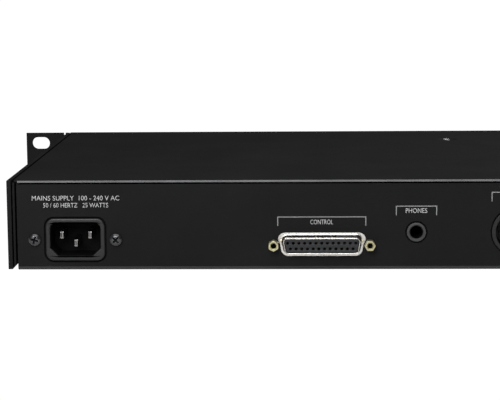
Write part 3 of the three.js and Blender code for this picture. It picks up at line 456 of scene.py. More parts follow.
def new_group(name, kind, inputs, outputs):
    """A node group with named sockets, its helper, and its input and output nodes."""
    tree = bpy.data.node_groups.new(name, kind)
    for label, socket, value in inputs:
        made = tree.interface.new_socket(label, in_out="INPUT", socket_type=socket)
        if value is not None:
            made.default_value = value
    for label, socket in outputs:
        tree.interface.new_socket(label, in_out="OUTPUT", socket_type=socket)
    nodes = Nodes(tree)
    return nodes, nodes.add("NodeGroupInput").outputs, nodes.add("NodeGroupOutput")


FLOAT, VECTOR = "NodeSocketFloat", "NodeSocketVector"


def object_place(nodes):
    return nodes.add("ShaderNodeTexCoord").outputs["Object"]


def noise(nodes, place, scale, detail=2.0, roughness=0.5):
    values = {"Vector": place, "Scale": scale, "Detail": detail, "Roughness": roughness}
    return nodes.add("ShaderNodeTexNoise", values).outputs[0]


def grain_group():
    """Fine grain for bumps, and slow patches for colour and gloss."""
    nodes, given, out = new_group(
        "Grain", "ShaderNodeTree",
        [("Grain Scale", FLOAT, 4000.0), ("Patch Scale", FLOAT, 25.0), ("Stretch", VECTOR, (1, 1, 1))],
        [("Height", FLOAT), ("Patches", FLOAT)],
    )
    place = nodes.vector("MULTIPLY", object_place(nodes), given["Stretch"])
    fine = noise(nodes, place, given["Grain Scale"], 3.0, 0.6)
    patches = noise(nodes, object_place(nodes), given["Patch Scale"], 4.0, 0.55)
    nodes.tree.links.new(fine, out.inputs["Height"])
    nodes.tree.links.new(nodes.remap(patches, 0.3, 0.7), out.inputs["Patches"])
    return nodes.tree


def wear_group():
    """A mask of the rubbed edges, broken up so that no edge is evenly worn."""
    nodes, given, out = new_group(
        "Edge Wear", "ShaderNodeTree",
        [("Width", FLOAT, 0.0004), ("Amount", FLOAT, 0.5), ("Breakup Scale", FLOAT, 300.0)],
        [("Mask", FLOAT)],
    )
    eased = nodes.add("ShaderNodeBevel", {"Radius": given["Width"]}, samples=4).outputs[0]
    flat = nodes.add("ShaderNodeNewGeometry").outputs["Normal"]
    corner = nodes.remap(nodes.vector("DOT_PRODUCT", eased, flat), 0.99, 0.82)
    broken = noise(nodes, object_place(nodes), given["Breakup Scale"], 5.0, 0.65)
    patchy = nodes.remap(nodes.math("ADD", broken, given["Amount"]), 0.75, 1.1)
    nodes.tree.links.new(nodes.math("MULTIPLY", corner, patchy, clamp=True), out.inputs["Mask"])
    return nodes.tree


def scuff_group():
    """Hairline scratches that run in two directions, and a few dull rubs."""
    nodes, given, out = new_group(
        "Scuffs", "ShaderNodeTree",
        [("Scale", FLOAT, 60.0), ("Amount", FLOAT, 0.5)],
        [("Scratches", FLOAT), ("Rubs", FLOAT)],
    )
    place = object_place(nodes)
    lines = []
    for turn, stretch in ((0.4, (1.0, 26.0, 26.0)), (-0.9, (24.0, 1.0, 24.0))):
        turned = nodes.add("ShaderNodeMapping", {"Vector": place, "Rotation": (0, 0, turn), "Scale": stretch})
        streak = noise(nodes, turned.outputs[0], given["Scale"], 2.0, 0.5)
        lines.append(nodes.remap(nodes.math("ABSOLUTE", nodes.math("SUBTRACT", streak, 0.5)), 0.006, 0.0))
    where = nodes.remap(noise(nodes, place, 35.0, 3.0), 0.5, 0.75)
    both = nodes.math("MULTIPLY", nodes.math("MAXIMUM", lines[0], lines[1]), where)
    rubs = nodes.remap(noise(nodes, place, 70.0, 5.0, 0.7), 0.6, 0.82)
    nodes.tree.links.new(nodes.math("MULTIPLY", both, given["Amount"]), out.inputs["Scratches"])
    nodes.tree.links.new(nodes.math("MULTIPLY", rubs, given["Amount"]), out.inputs["Rubs"])
    return nodes.tree


def dust_group():
    """A mask of the dust that lies on faces that look up."""
    nodes, given, out = new_group(
        "Dust", "ShaderNodeTree", [("Amount", FLOAT, 0.3)], [("Mask", FLOAT)]
    )
    facing = nodes.add("ShaderNodeNewGeometry").outputs["Normal"]
    up = nodes.add("ShaderNodeSeparateXYZ", {0: facing}).outputs[2]
    specks = nodes.remap(noise(nodes, object_place(nodes), 2500.0, 2.0), 0.62, 0.8)
    film = nodes.remap(noise(nodes, object_place(nodes), 22.0, 4.0), 0.35, 0.8)
    lying = nodes.math("MULTIPLY", nodes.remap(up, 0.6, 1.0), nodes.math("ADD", specks, film))
    nodes.tree.links.new(nodes.math("MULTIPLY", lying, given["Amount"], clamp=True), out.inputs["Mask"])
    return nodes.tree


def track_group():
    """Copper tracks and pads under a circuit board's varnish."""
    nodes, _, out = new_group(
        "Tracks", "ShaderNodeTree", [("Pitch", FLOAT, 0.0025)], [("Tracks", FLOAT), ("Pads", FLOAT)]
    )
    place = nodes.vector("MULTIPLY", object_place(nodes), (1.0, 1.0, 0.0))
    scaled = nodes.add("ShaderNodeVectorMath", {0: place, "Scale": 400.0}, operation="SCALE").outputs[0]
    cells = nodes.add("ShaderNodeTexBrick", {"Vector": scaled, "Scale": 0.6, "Mortar Size": 0.035,
                                             "Color1": (0, 0, 0, 1), "Color2": (0.1, 0.1, 0.1, 1),
                                             "Mortar": (1, 1, 1, 1)}, offset=0.37)
    dots = nodes.add("ShaderNodeTexVoronoi", {"Vector": scaled, "Scale": 0.45, "Randomness": 0.35})
    nodes.tree.links.new(cells.outputs["Fac"], out.inputs["Tracks"])
    nodes.tree.links.new(nodes.remap(dots.outputs["Distance"], 0.16, 0.12), out.inputs["Pads"])
    return nodes.tree


GROUPS = {}


def shared(name):
    """A shader group, built the first time that a material asks for it."""
    makers = {"Grain": grain_group, "Edge Wear": wear_group, "Scuffs": scuff_group,
              "Dust": dust_group, "Tracks": track_group}
    if name not in GROUPS:
        GROUPS[name] = makers[name]()
    return GROUPS[name]


# ---------------------------------------------------------------- finishes


def rgb(value):
    """A colour as four numbers, from three or from one grey."""
    grey = [value] * 3 if isinstance(value, float) else list(value)[:3]
    return (*grey, 1.0)


FINISHES = {}


def finish(name, colour, roughness, metallic=0.0, specular=0.5, second=None, grain=4000.0, stretch=(1, 1, 1),
           bump=0.3, depth=0.02, patch=25.0, uneven=0.08, wear=None, bare=None, scuffs=0.0, dust=0.0,
           coat=0.0, tracks=None, glass=0.0, glow=None):
    """A material of one finish: its base, grain, patches, worn edges, scratches and dust."""
    if name in FINISHES:
        return FINISHES[name]
    made = bpy.data.materials.new(name)
    made.use_nodes = True
    nodes = Nodes(made.node_tree)
    base = made.node_tree.nodes["Principled BSDF"]
    base.inputs["Metallic"].default_value = metallic
    base.inputs["Specular IOR Level"].default_value = specular
    base.inputs["Coat Weight"].default_value = coat
    base.inputs["Transmission Weight"].default_value = glass

    def group(title, inputs):
        return nodes.add("ShaderNodeGroup", inputs, node_tree=shared(title)).outputs

    texture = group("Grain", {"Grain Scale": grain, "Patch Scale": patch, "Stretch": stretch})
    paint = nodes.blend(texture["Patches"], rgb(colour),
                        rgb(second or [part * 0.8 for part in rgb(colour)[:3]]))
    low, high = roughness - uneven, roughness + uneven
    gloss = nodes.remap(texture["Patches"], 0.0, 1.0, low, high)
    height = texture["Height"]
    if tracks:
        copper = group("Tracks", {})
        paint = nodes.blend(copper["Tracks"], paint, rgb(tracks))
        paint = nodes.blend(copper["Pads"], paint, (0.55, 0.5, 0.38, 1))
        height = nodes.math("ADD", height, nodes.math("MULTIPLY", copper["Tracks"], 1.5))
    if scuffs:
        marks = group("Scuffs", {"Amount": scuffs})
        paint = nodes.blend(marks["Scratches"], paint,
                            rgb(bare or [part * 1.6 + 0.02 for part in rgb(colour)[:3]]))
        gloss = nodes.math("ADD", gloss, nodes.math("MULTIPLY", marks["Rubs"], 0.15), clamp=True)
        height = nodes.math("SUBTRACT", height, marks["Scratches"])
    if wear:
        worn = group("Edge Wear", {"Amount": wear})["Mask"]
        paint = nodes.blend(worn, paint, rgb(bare or [part * 2 + 0.03 for part in rgb(colour)[:3]]))
    if dust:
        lying = group("Dust", {"Amount": dust})["Mask"]
        paint = nodes.blend(lying, paint, (0.25, 0.24, 0.22, 1))
        gloss = nodes.math("ADD", gloss, nodes.math("MULTIPLY", lying, 0.3), clamp=True)
    if glow:
        base.inputs["Emission Color"].default_value = rgb(glow)
        base.inputs["Emission Strength"].default_value = 0.6
    relief = nodes.add("ShaderNodeBump", {"Strength": bump, "Distance": depth * MM, "Height": height})
    made.node_tree.links.new(paint, base.inputs["Base Color"])
    made.node_tree.links.new(gloss, base.inputs["Roughness"])
    made.node_tree.links.new(relief.outputs[0], base.inputs["Normal"])
    FINISHES[name] = made
    return made


def colour_of(name):
    """A colour that the user may set in the sidebar."""
    return tuple(getattr(bpy.context.scene.rack_unit.colours, name))


def enamel():
    return finish("casing_enamel", colour_of("enamel"), 0.62, specular=0.05, grain=2600.0, bump=0.25,
                  patch=14.0, uneven=0.06, wear=0.25, bare=0.045, scuffs=0.35, dust=0.012)


def rubbed_enamel():
    """The enamel on the fold under the rear panel, polished by handling."""
    return finish("rubbed_enamel", colour_of("enamel"), 0.4, specular=0.6, grain=2600.0, bump=0.2, patch=14.0,
                  uneven=0.06)


# Grey of the cover's sheared rear edge: partly the bare metal under the paint, partly a painted highlight of
# the light that the edge catches.
def cut_edge():
    return finish("cover_cut_edge", colour_of("cut_edge"), 0.5, specular=0.3, grain=1500.0, patch=60.0,
                  second=[part * 0.72 for part in colour_of("cut_edge")], uneven=0.12, scuffs=0.4)


def fascia_black():
    return finish("fascia_anodised", (0.016, 0.016, 0.018), 0.42, metallic=0.35, specular=0.35, grain=900.0,
                  stretch=(0.03, 1, 1), bump=0.35, uneven=0.05, wear=0.2, bare=0.12, scuffs=0.3)


def black_moulding():
    return finish("black_moulding", (0.012, 0.012, 0.013), 0.46, specular=0.4, grain=3500.0, bump=0.2,
                  wear=0.15, bare=0.03, scuffs=0.3)


def inlet_moulding():
    return finish("inlet_moulding", colour_of("inlet"), 0.42, specular=0.45, grain=3500.0, bump=0.15,
                  wear=0.2, bare=0.06, scuffs=0.3)


def grey_moulding():
    return finish("grey_moulding", colour_of("jack_ring"), 0.5, specular=0.4, grain=3500.0, bump=0.2,
                  wear=0.2, bare=0.2, scuffs=0.4)


def button_moulding():
    return finish("button_moulding", (0.07, 0.07, 0.075), 0.5, specular=0.4, grain=3800.0, bump=0.3,
                  wear=0.3, bare=0.12)


def bright_tin():
    return finish("bright_tin", colour_of("tin"), 0.22, metallic=1.0, specular=0.5, grain=1800.0, bump=0.15,
                  patch=160.0, uneven=0.1, second=[part * 0.86 for part in colour_of("tin")],
                  scuffs=0.4, bare=0.45)


def skirt_tin():
    """The same plating where it stands in the shade of the panel."""
    return finish("skirt_tin", [part * 0.3 for part in colour_of("tin")], 0.3, metallic=1.0, grain=1800.0,
                  patch=160.0, uneven=0.1)


def contact_tin():
    return finish("contact_tin", (0.7, 0.69, 0.66), 0.3, metallic=0.85, grain=1200.0, stretch=(1, 0.1, 1),
                  bump=0.2, patch=300.0, scuffs=0.6, bare=0.4)


def blade_nickel():
    return finish("blade_nickel", (0.42, 0.41, 0.4), 0.18, metallic=1.0, grain=1500.0, bump=0.1, patch=300.0,
                  uneven=0.04)


def gold():
    return finish("contact_gold", (0.75, 0.52, 0.2), 0.25, metallic=1.0, patch=400.0, uneven=0.06)


def yellow_zinc():
    return finish("yellow_zinc", colour_of("zinc"), 0.36, metallic=0.8, grain=1600.0, bump=0.2, patch=220.0,
                  second=[part * 0.75 for part in colour_of("zinc")], scuffs=0.4, bare=0.5)


def black_zinc():
    return finish("black_zinc", (0.09, 0.09, 0.095), 0.25, metallic=0.85, grain=1600.0, bump=0.2, patch=250.0,
                  wear=0.5, bare=0.3, scuffs=0.4)


def connector_metal():
    return finish("connector_metal", (0.013, 0.013, 0.014), 0.42, metallic=0.4, grain=2600.0, bump=0.3,
                  wear=0.25, bare=0.15, scuffs=0.3)


def latch_metal():
    return finish("latch_metal", (0.25, 0.25, 0.26), 0.36, metallic=0.8, grain=1500.0, stretch=(0.1, 1, 1),
                  wear=0.4, bare=0.5)


def insulator():
    return finish("insulator", colour_of("insulator"), 0.5, specular=0.45, grain=3500.0, bump=0.2,
                  wear=0.2, bare=0.08)


def ink_black():
    return finish("socket_black", (0.006, 0.006, 0.007), 0.5, specular=0.35, grain=3500.0, bump=0.2)


def cavity_black():
    """Painted shade: a near-black, darker than any moulding, for the deep insides where no light reaches."""
    return finish("cavity_black", (0.0025, 0.0025, 0.0027), 0.7, specular=0.1, grain=3500.0, bump=0.2)


def shaft_metal():
    return finish("shaft_metal", (0.55, 0.55, 0.56), 0.32, metallic=1.0, grain=1400.0, stretch=(1, 0.08, 1),
                  scuffs=0.5, bare=0.4)


def pot_body():
    return finish("pot_body", (0.05, 0.11, 0.22), 0.5, grain=3000.0, wear=0.2)


def smoked_window():
    return finish("smoked_window", (0.02, 0.022, 0.026), 0.1, specular=0.5, grain=700.0, bump=0.05,
                  uneven=0.03,
                  scuffs=0.5, coat=0.4)


def meter_body():
    return finish("meter_body", (0.02, 0.02, 0.022), 0.45, grain=3200.0)


def display_body():
    return finish("display_glass", (0.03, 0.036, 0.034), 0.25, grain=900.0, patch=90.0)


def main_laminate():
    return finish("main_laminate", (0.014, 0.085, 0.03), 0.38, grain=1400.0, tracks=(0.03, 0.15, 0.05),
                  coat=0.3)


def power_laminate():
    return finish("power_laminate", (0.2, 0.13, 0.05), 0.6, grain=1100.0, tracks=(0.3, 0.2, 0.09))


def chip_package():
    return finish("chip_package", (0.012, 0.012, 0.012), 0.6, grain=3600.0, bump=0.5)


def ferrite():
    return finish("ferrite", (0.09, 0.09, 0.095), 0.55, grain=2200.0, bump=0.5, second=(0.06, 0.06, 0.06))


def winding_tape():
    return finish("winding_tape", (0.55, 0.42, 0.08), 0.35, grain=600.0, stretch=(0.1, 1, 1), patch=120.0)


def can_sleeve():
    return finish("capacitor_sleeve", (0.01, 0.02, 0.08), 0.28, grain=800.0, patch=120.0, coat=0.4)


def sink_metal():
    return finish("heat_sink_metal", (0.35, 0.355, 0.36), 0.4, metallic=0.9, grain=1200.0,
                  stretch=(1, 1, 0.05), bump=0.4, wear=0.4)


def ribbon_jacket():
    return finish("ribbon_jacket", (0.3, 0.3, 0.31), 0.55, grain=3000.0, patch=200.0)


def wire(name, colour):
    return finish(name, colour, 0.45, grain=3000.0, patch=300.0)


def ink():
    return finish("legend_ink", colour_of("ink"), 0.6, specular=0.2, grain=6000.0, patch=900.0,
                  second=[part * 0.8 for part in colour_of("ink")])


def line_ink():
    return finish("line_ink", colour_of("line_ink"), 0.6, specular=0.2, grain=6000.0, patch=900.0,
                  second=[part * 0.8 for part in colour_of("line_ink")])


def lamp(name, colour):
    return finish(name, [part * 0.25 for part in colour], 0.25, grain=2000.0,
                  glow=[part * 0.1 for part in colour])


# ---------------------------------------------------------------- repeating rules


def geometry_rule(name, inputs, points):
    """A tree that puts a part on points, turned as they say, makes it real and gives it its finish."""
    common = [("Geometry", "NodeSocketGeometry", None), ("Part", "NodeSocketObject", None),
              ("Finish", "NodeSocketMaterial", None)]
    nodes, given, out = new_group(
        name, "GeometryNodeTree", common + inputs, [("Geometry", "NodeSocketGeometry")]
    )
    where, turn = points(nodes, given)
    part = nodes.add("GeometryNodeObjectInfo", {"Object": given["Part"]}).outputs["Geometry"]
    copies = nodes.add("GeometryNodeInstanceOnPoints", {"Points": where, "Instance": part, "Rotation": turn})
    real = nodes.add("GeometryNodeRealizeInstances", {"Geometry": copies.outputs[0]})
    done = nodes.add("GeometryNodeSetMaterial", {"Geometry": real.outputs[0], "Material": given["Finish"]})
    nodes.tree.links.new(done.outputs[0], out.inputs["Geometry"])
    return nodes.tree


INTEGER, FRACTION, PLACE = "NodeSocketInt", "NodeSocketFloat", "NodeSocketVector"


def rank_points(nodes, given):
    """Points in columns and rows, none of them turned."""
    across = nodes.add("GeometryNodeMeshLine", {"Count": given["Columns"], "Start Location": given["Start"],
                                                "Offset": given["Column Step"]})
    upward = nodes.add("GeometryNodeMeshLine", {"Count": given["Rows"], "Offset": given["Row Step"]})
    rows = nodes.add("GeometryNodeInstanceOnPoints",
                     {"Points": upward.outputs[0], "Instance": across.outputs[0]})
    real = nodes.add("GeometryNodeRealizeInstances", {"Geometry": rows.outputs[0]})
    chance = nodes.add("FunctionNodeRandomValue", {"Probability": given["Share"], "Seed": given["Seed"]},
                       data_type="BOOLEAN")
    kept = nodes.add("GeometryNodeSeparateGeometry", {"Geometry": real.outputs[0],
                                                      "Selection": chance.outputs[3]})
    return kept.outputs[0], (0.0, 0.0, 0.0)


def ring_points(nodes, given):
    """Points on one centre, each turned a step further about the Y axis."""
    hub = nodes.add("GeometryNodeMeshLine", {"Count": given["Count"], "Start Location": given["Centre"],
                                             "Offset": (0.0, 0.0, 0.0)})
    number = nodes.add("GeometryNodeInputIndex").outputs[0]
    angle = nodes.math("ADD", nodes.math("MULTIPLY", number, given["Step"]), given["First"])
    turn = nodes.add("ShaderNodeCombineXYZ", {"Y": angle})
    return hub.outputs[0], turn.outputs[0]


def fastener_points(nodes, given):
    """The points of the mesh, each with a turn of its own about the screws' axis."""
    spin = nodes.add("FunctionNodeRandomValue", {"Max": math.tau, "Seed": given["Seed"]}, data_type="FLOAT")
    spin.inputs[3].default_value = math.tau
    turn = nodes.add("ShaderNodeVectorMath", {0: given["Axis"], "Scale": spin.outputs[1]}, operation="SCALE")
    return given["Geometry"], turn.outputs[0]


RULES = {}
RULE_INPUTS = {
    "Rank": (rank_points, [("Columns", INTEGER, 2), ("Rows", INTEGER, 1), ("Start", PLACE, (0, 0, 0)),
                           ("Column Step", PLACE, (0.01, 0, 0)), ("Row Step", PLACE, (0, 0, 0.01)),
                           ("Share", FRACTION, 1.0), ("Seed", INTEGER, 1)]),
    "Ring": (ring_points, [("Count", INTEGER, 3), ("Centre", PLACE, (0, 0, 0)), ("Step", FRACTION, 0.5),
                           ("First", FRACTION, 0.0)]),
    "Fasteners": (fastener_points, [("Axis", PLACE, (0, 1, 0)), ("Seed", INTEGER, 1)]),
}


def repeated(name, rule, part, material, places=(), **values):
    """One mesh of many copies of a part, set out by one of the rules. Lengths are in metres."""
    if rule not in RULES:
        points, inputs = RULE_INPUTS[rule]
        RULES[rule] = geometry_rule(rule, inputs, points)
    original = build(f"{name}_part", [(part, material)])
    base = bpy.data.meshes.new(name)
    base.from_pydata([Vector(place) * MM for place in places], [], [])
    piece = put_in_scene(name, base)
    modifier = piece.modifiers.new(rule, "NODES")
    modifier.node_group = RULES[rule]
    given = {"Part": original, "Finish": material, **values}
    for item in RULES[rule].interface.items_tree:
        title = item.name.replace(" ", "_")
        if item.in_out == "INPUT" and (item.name in given or title in given):
            modifier[item.identifier] = given.get(item.name, given.get(title))
    made = flattened(piece)
    bpy.data.objects.remove(original)
    return made


def metres(*values):
    return tuple(value * MM for value in values)


# ---------------------------------------------------------------- lettering and lines

REAR_PRINT = Matrix(((-1, 0, 0), (0, 0, 1), (0, 1, 0)))  # reads from behind the unit
FRONT_PRINT = Matrix(((1, 0, 0), (0, 0, -1), (0, 1, 0)))  # reads from in front of it
PRINT_LIFT = 0.01
PRINT_THICKNESS = 0.03


def lettering(words, width, tall):
    """Words as a thin form of the given width and capital height, centred on the origin in X and Y."""
    curve = bpy.data.curves.new("words", "FONT")
    curve.body = words
    curve.extrude = 0.5
    curve.offset = -0.008
    curve.resolution_u = 3
    source = put_in_scene("words", curve)
    flat = flattened(source)
    edit = bmesh.new()
    edit.from_mesh(flat.data)
    bmesh.ops.remove_doubles(edit, verts=edit.verts, dist=1e-5)
    points = [vertex.co.copy() for vertex in edit.verts]
    faces = [[vertex.index for vertex in face.verts] for face in edit.faces]
    edit.free()
    bpy.data.objects.remove(flat)
    low = Vector([min(point[axis] for point in points) for axis in range(3)])
    high = Vector([max(point[axis] for point in points) for axis in range(3)])
    centre, size = (low + high) / 2, high - low
    scale = Vector((width / size.x, tall / size.y, PRINT_THICKNESS / size.z))
    return Form([Vector(a * b for a, b in zip(point - centre, scale)) for point in points], faces)


def printed(form, turn, x, y, z):
    """Lettering put on a face at y, with its middle at x and z."""
    side = 1 if turn is REAR_PRINT else -1
    lift = y + side * (PRINT_LIFT + PRINT_THICKNESS / 2)
    return Form([turn @ point + Vector((x, lift, z)) for point in form.points], form.faces)


def stroke(x0, x1, z0, z1, y, side=1):
    """A printed line or mark on a face at y."""
    near, far = y + side * PRINT_LIFT, y + side * (PRINT_LIFT + PRINT_THICKNESS)
    return brick(min(x0, x1), max(x0, x1), min(near, far), max(near, far), min(z0, z1), max(z0, z1), 0.0, 1)


def bracket(x0, x1, top, legs, y, thick):
    """A line over a group of connectors, with a short leg at each end."""
    low, high = min(x0, x1), max(x0, x1)
    lines = [stroke(low, high, top - thick, top, y)]
    if legs:
        lines.append(stroke(low, low + thick, top - legs, top - thick, y))
        lines.append(stroke(high - thick, high, top - legs, top - thick, y))
    return together(lines)


# ---------------------------------------------------------------- rear panel

REAR = span("base_tray")[1].y  # the rear panel's outer face
SEAT = 0.2  # gap between pieces that touch
INLET = middle("mains_inlet_body")
REMOTE = middle("remote_connector_shell")
JACK_LOW, JACK_HIGH = span("monitor_jack")
JACK_X = (JACK_LOW.x + JACK_HIGH.x) / 2
JACK_Z = JACK_HIGH.z - (JACK_HIGH.x - JACK_LOW.x) / 2
OUTPUTS = [middle(f"output_{number}_shell") for number in (1, 2)]
AUDIO_Z = OUTPUTS[0].z
INPUTS = [Vector((middle(f"input_{number}_shell").x, 0, AUDIO_Z)) for number in (1, 2)]
SOCKETS = [middle(f"control_data_socket_{number}") for number in (1, 2)]

INLET_SNOUT = (29.2, 21.0, 4.0)  # width, height and corner radius
INLET_MOUTH = (24.7, 16.1, 4.0, 2.5)  # width, height, chamfer and upper corner radius
INLET_CUT_GAP = 0.9
INLET_DEPTH = 16.0
INLET_FLANGE = (48.0, 24.0)
REMOTE_CUT = (43.0, 11.9, 3.6)
REMOTE_SHELL = (38.4, 7.9, 2.0)
REMOTE_REACH = 5.0
REMOTE_WALL = 0.5
RING_RADIUS = 4.7
JACK_BORE = 3.2
AUDIO_CUT = 12.0
AUDIO_RING = 11.45
AUDIO_CUP = 9.4
SOCKET_CUT = 8.0
HOLE = 1.75
SHANK = 1.45
PANEL = 1.0  # sheet thickness
FOLD = 1.8  # outside radius of the fold under the rear panel
PINS = 4.1  # radius of the circle that the audio contacts stand on
CONTACT_TURNS = (30, 150, 270)


def reamer(radius, low, high, x=0.0, y=0.0, z=0.0, sides=FINE):
    """A round tool whose flats touch the radius."""
    return rod(radius / math.cos(math.pi / sides), low, high, sides=sides).moved(x, y, z)


def darken(piece, inside):
    """Gives the faces whose middle lies inside, in mm, the near-black of painted shade."""
    piece.data.materials.append(cavity_black())
    for face in piece.data.polygons:
        if inside(face.center / MM):
            face.material_index = len(piece.data.materials) - 1


def tray_form():
    """The tray with its rear cut-outs opened to clean outlines."""
    width, tall, corner = INLET_SNOUT
    gap = INLET_CUT_GAP
    inlet = rectangle(width + 2 * gap, tall + 2 * gap, corner + gap, INLET.x, INLET.z, 12)
    remote = [point + Vector((REMOTE.x, REMOTE.z)) for point in d_shape(*REMOTE_CUT, steps=10)]
    tools = [slab([inlet], REAR - 2, REAR + 1), slab([remote], REAR - 2, REAR + 1)]
    tools.append(reamer(RING_RADIUS + 0.75, REAR - 2, REAR + 1, JACK_X, 0, JACK_Z))
    for place in OUTPUTS + INPUTS:
        tools.append(reamer(AUDIO_CUT, REAR - 2, REAR + 1, place.x, 0, AUDIO_Z, 96))
    for place in SOCKETS:
        tools.append(reamer(SOCKET_CUT, REAR - 2, REAR + 1, place.x, 0, AUDIO_Z))
    return combined(cad_form("base_tray"), together(tools))


def make_tray():
    half = span("base_tray")[1].x
    outside = lambda place: place.y > REAR - 0.1 or place.z < 0.05 or abs(place.x) > half - 0.1
    piece = build("base_tray_finished", [(tray_form(), enamel())], 0.16, outside)
    piece.data.materials.append(rubbed_enamel())
    for face in piece.data.polygons:
        place = face.center / MM
        if place.y > REAR - FOLD and place.z < FOLD:
            face.material_index = 1
    settle(piece, nodes=["base_tray"])


DISH_RIM, DISH_FLOOR, DISH_DEPTH = 6.5, 3.6, 1.3


def cover_form():
    """The cover with a smooth round dish for its screw."""
    _, high = span("top_cover")
    top, under = high.z, high.z - PANEL
    screw = middle("cover_screw")
    outer = DISH_RIM + 1.5
    hole = reamer(DISH_RIM + 1.1, under - 1, top + 1).along_z().moved(screw.x, screw.y, 0)
    corners = [(HOLE, top - DISH_DEPTH), (DISH_FLOOR, top - DISH_DEPTH), (DISH_RIM, top), (outer, top),
               (outer, under), (DISH_RIM, under), (DISH_FLOOR, under - DISH_DEPTH),
               (HOLE, under - DISH_DEPTH)]
    radii = [0.15, 1.6, 1.6, 0, 0, 1.6, 1.6, 0.1]
    profile = [(point.x, point.y) for point in rounded(corners, radii, 5)]
    dish = lathed(profile).along_z().moved(screw.x, screw.y, 0)
    return combined(combined(cad_form("top_cover"), hole), dish, "UNION")


def make_cover():
    """The cover, whose sheared rear edge shows the bare grey under the paint, lightened further as a painted
    highlight.
    """
    _, high = span("top_cover")
    rim = lambda place: place.y > high.y - 0.1 or abs(place.x) > high.x - 0.1
    piece = build("top_cover_finished", [(cover_form(), enamel())], 0.22, rim)
    piece.data.materials.append(cut_edge())
    # The rear-facing faces along the cover's rear edge take the bare-edge grey, which is partly a painted
    # highlight.
    for face in piece.data.polygons:
        if face.center.y > (high.y - 0.3) * MM and face.normal.y > 0.3:
            face.material_index = 1
    settle(piece, nodes=["top_cover"])


SLOT = (10.6, 7.2)
SIDE_SCREW_SHARES = (0.14, 0.5, 0.86)  # along the side plate


def side_screw_places(sign):
    low, high = span("side_plate_mains")
    outer = sign * (high.x - EAR_REACH)
    return [(outer, low.y + share * (high.y - low.y), (low.z + high.z) / 2) for share in SIDE_SCREW_SHARES]


EAR_REACH = 24.8
SLOT_FROM_END = 8.75
SLOT_PITCH = 31.75


def plate_form(node, sign):
    low, high = span(node)
    end = sign * max(abs(low.x), abs(high.x))
    tools = []
    for side in (-1, 1):
        height = (low.z + high.z) / 2 + side * SLOT_PITCH / 2
        outline = rectangle(*SLOT, SLOT[1] / 2 - 0.001, end - sign * SLOT_FROM_END, height, 16)
        tools.append(slab([outline], low.y - 1, low.y + 4))
    for x, y, z in side_screw_places(sign):
        tools.append(reamer(HOLE, -4, 4, sides=COARSE).along_x().moved(x, y, z))
    return combined(cad_form(node), together(tools))


def make_side_plates():
    for node, sign in (("side_plate_mains", 1), ("side_plate_far", -1)):
        piece = build(f"{node}_finished", [(plate_form(node, sign), enamel())], 0.28)
        settle(piece, nodes=[node])


def screw_form(head, length, tall=0.62):
    """A pan-headed screw along +Y with a cross recess, its head's underside at the origin."""
    top = tall * head
    corners = [(0, -length), (SHANK - 0.5, -length), (SHANK, -length + 0.8), (SHANK, 0), (head, 0),
               (head, 0.5 * top), (0.62 * head, top), (0, top)]
    radii = [0, 0, 0.2, 0.1, 0.1, 0.42 * top, 0.5 * head, 0]
    body = lathed([(max(x, 0.0), y) for x, y in rounded(corners, radii, 5, is_open=True)], 40)
    return combined(body, recess_form(head, tall, top + 0.5))


def recess_form(head, tall=0.62, top=None):
    """The cross recess of a screw's head, or without its top, a thin near-black sheet on its floor that is
    painted shade.
    """
    arm, reach, floor = 0.17 * head, 0.64 * head, 0.25 * tall * head
    outline = [(-arm, -reach), (arm, -reach), (arm, -arm), (reach, -arm), (reach, arm), (arm, arm),
               (arm, reach), (-arm, reach), (-arm, arm), (-reach, arm), (-reach, -arm), (-arm, -arm)]
    lean = [(-0.6 * arm, floor), (0.25 * arm, top) if top else (-0.6 * arm, floor + 0.06)]
    return swept(anticlockwise([Vector(point) for point in outline]), lean)


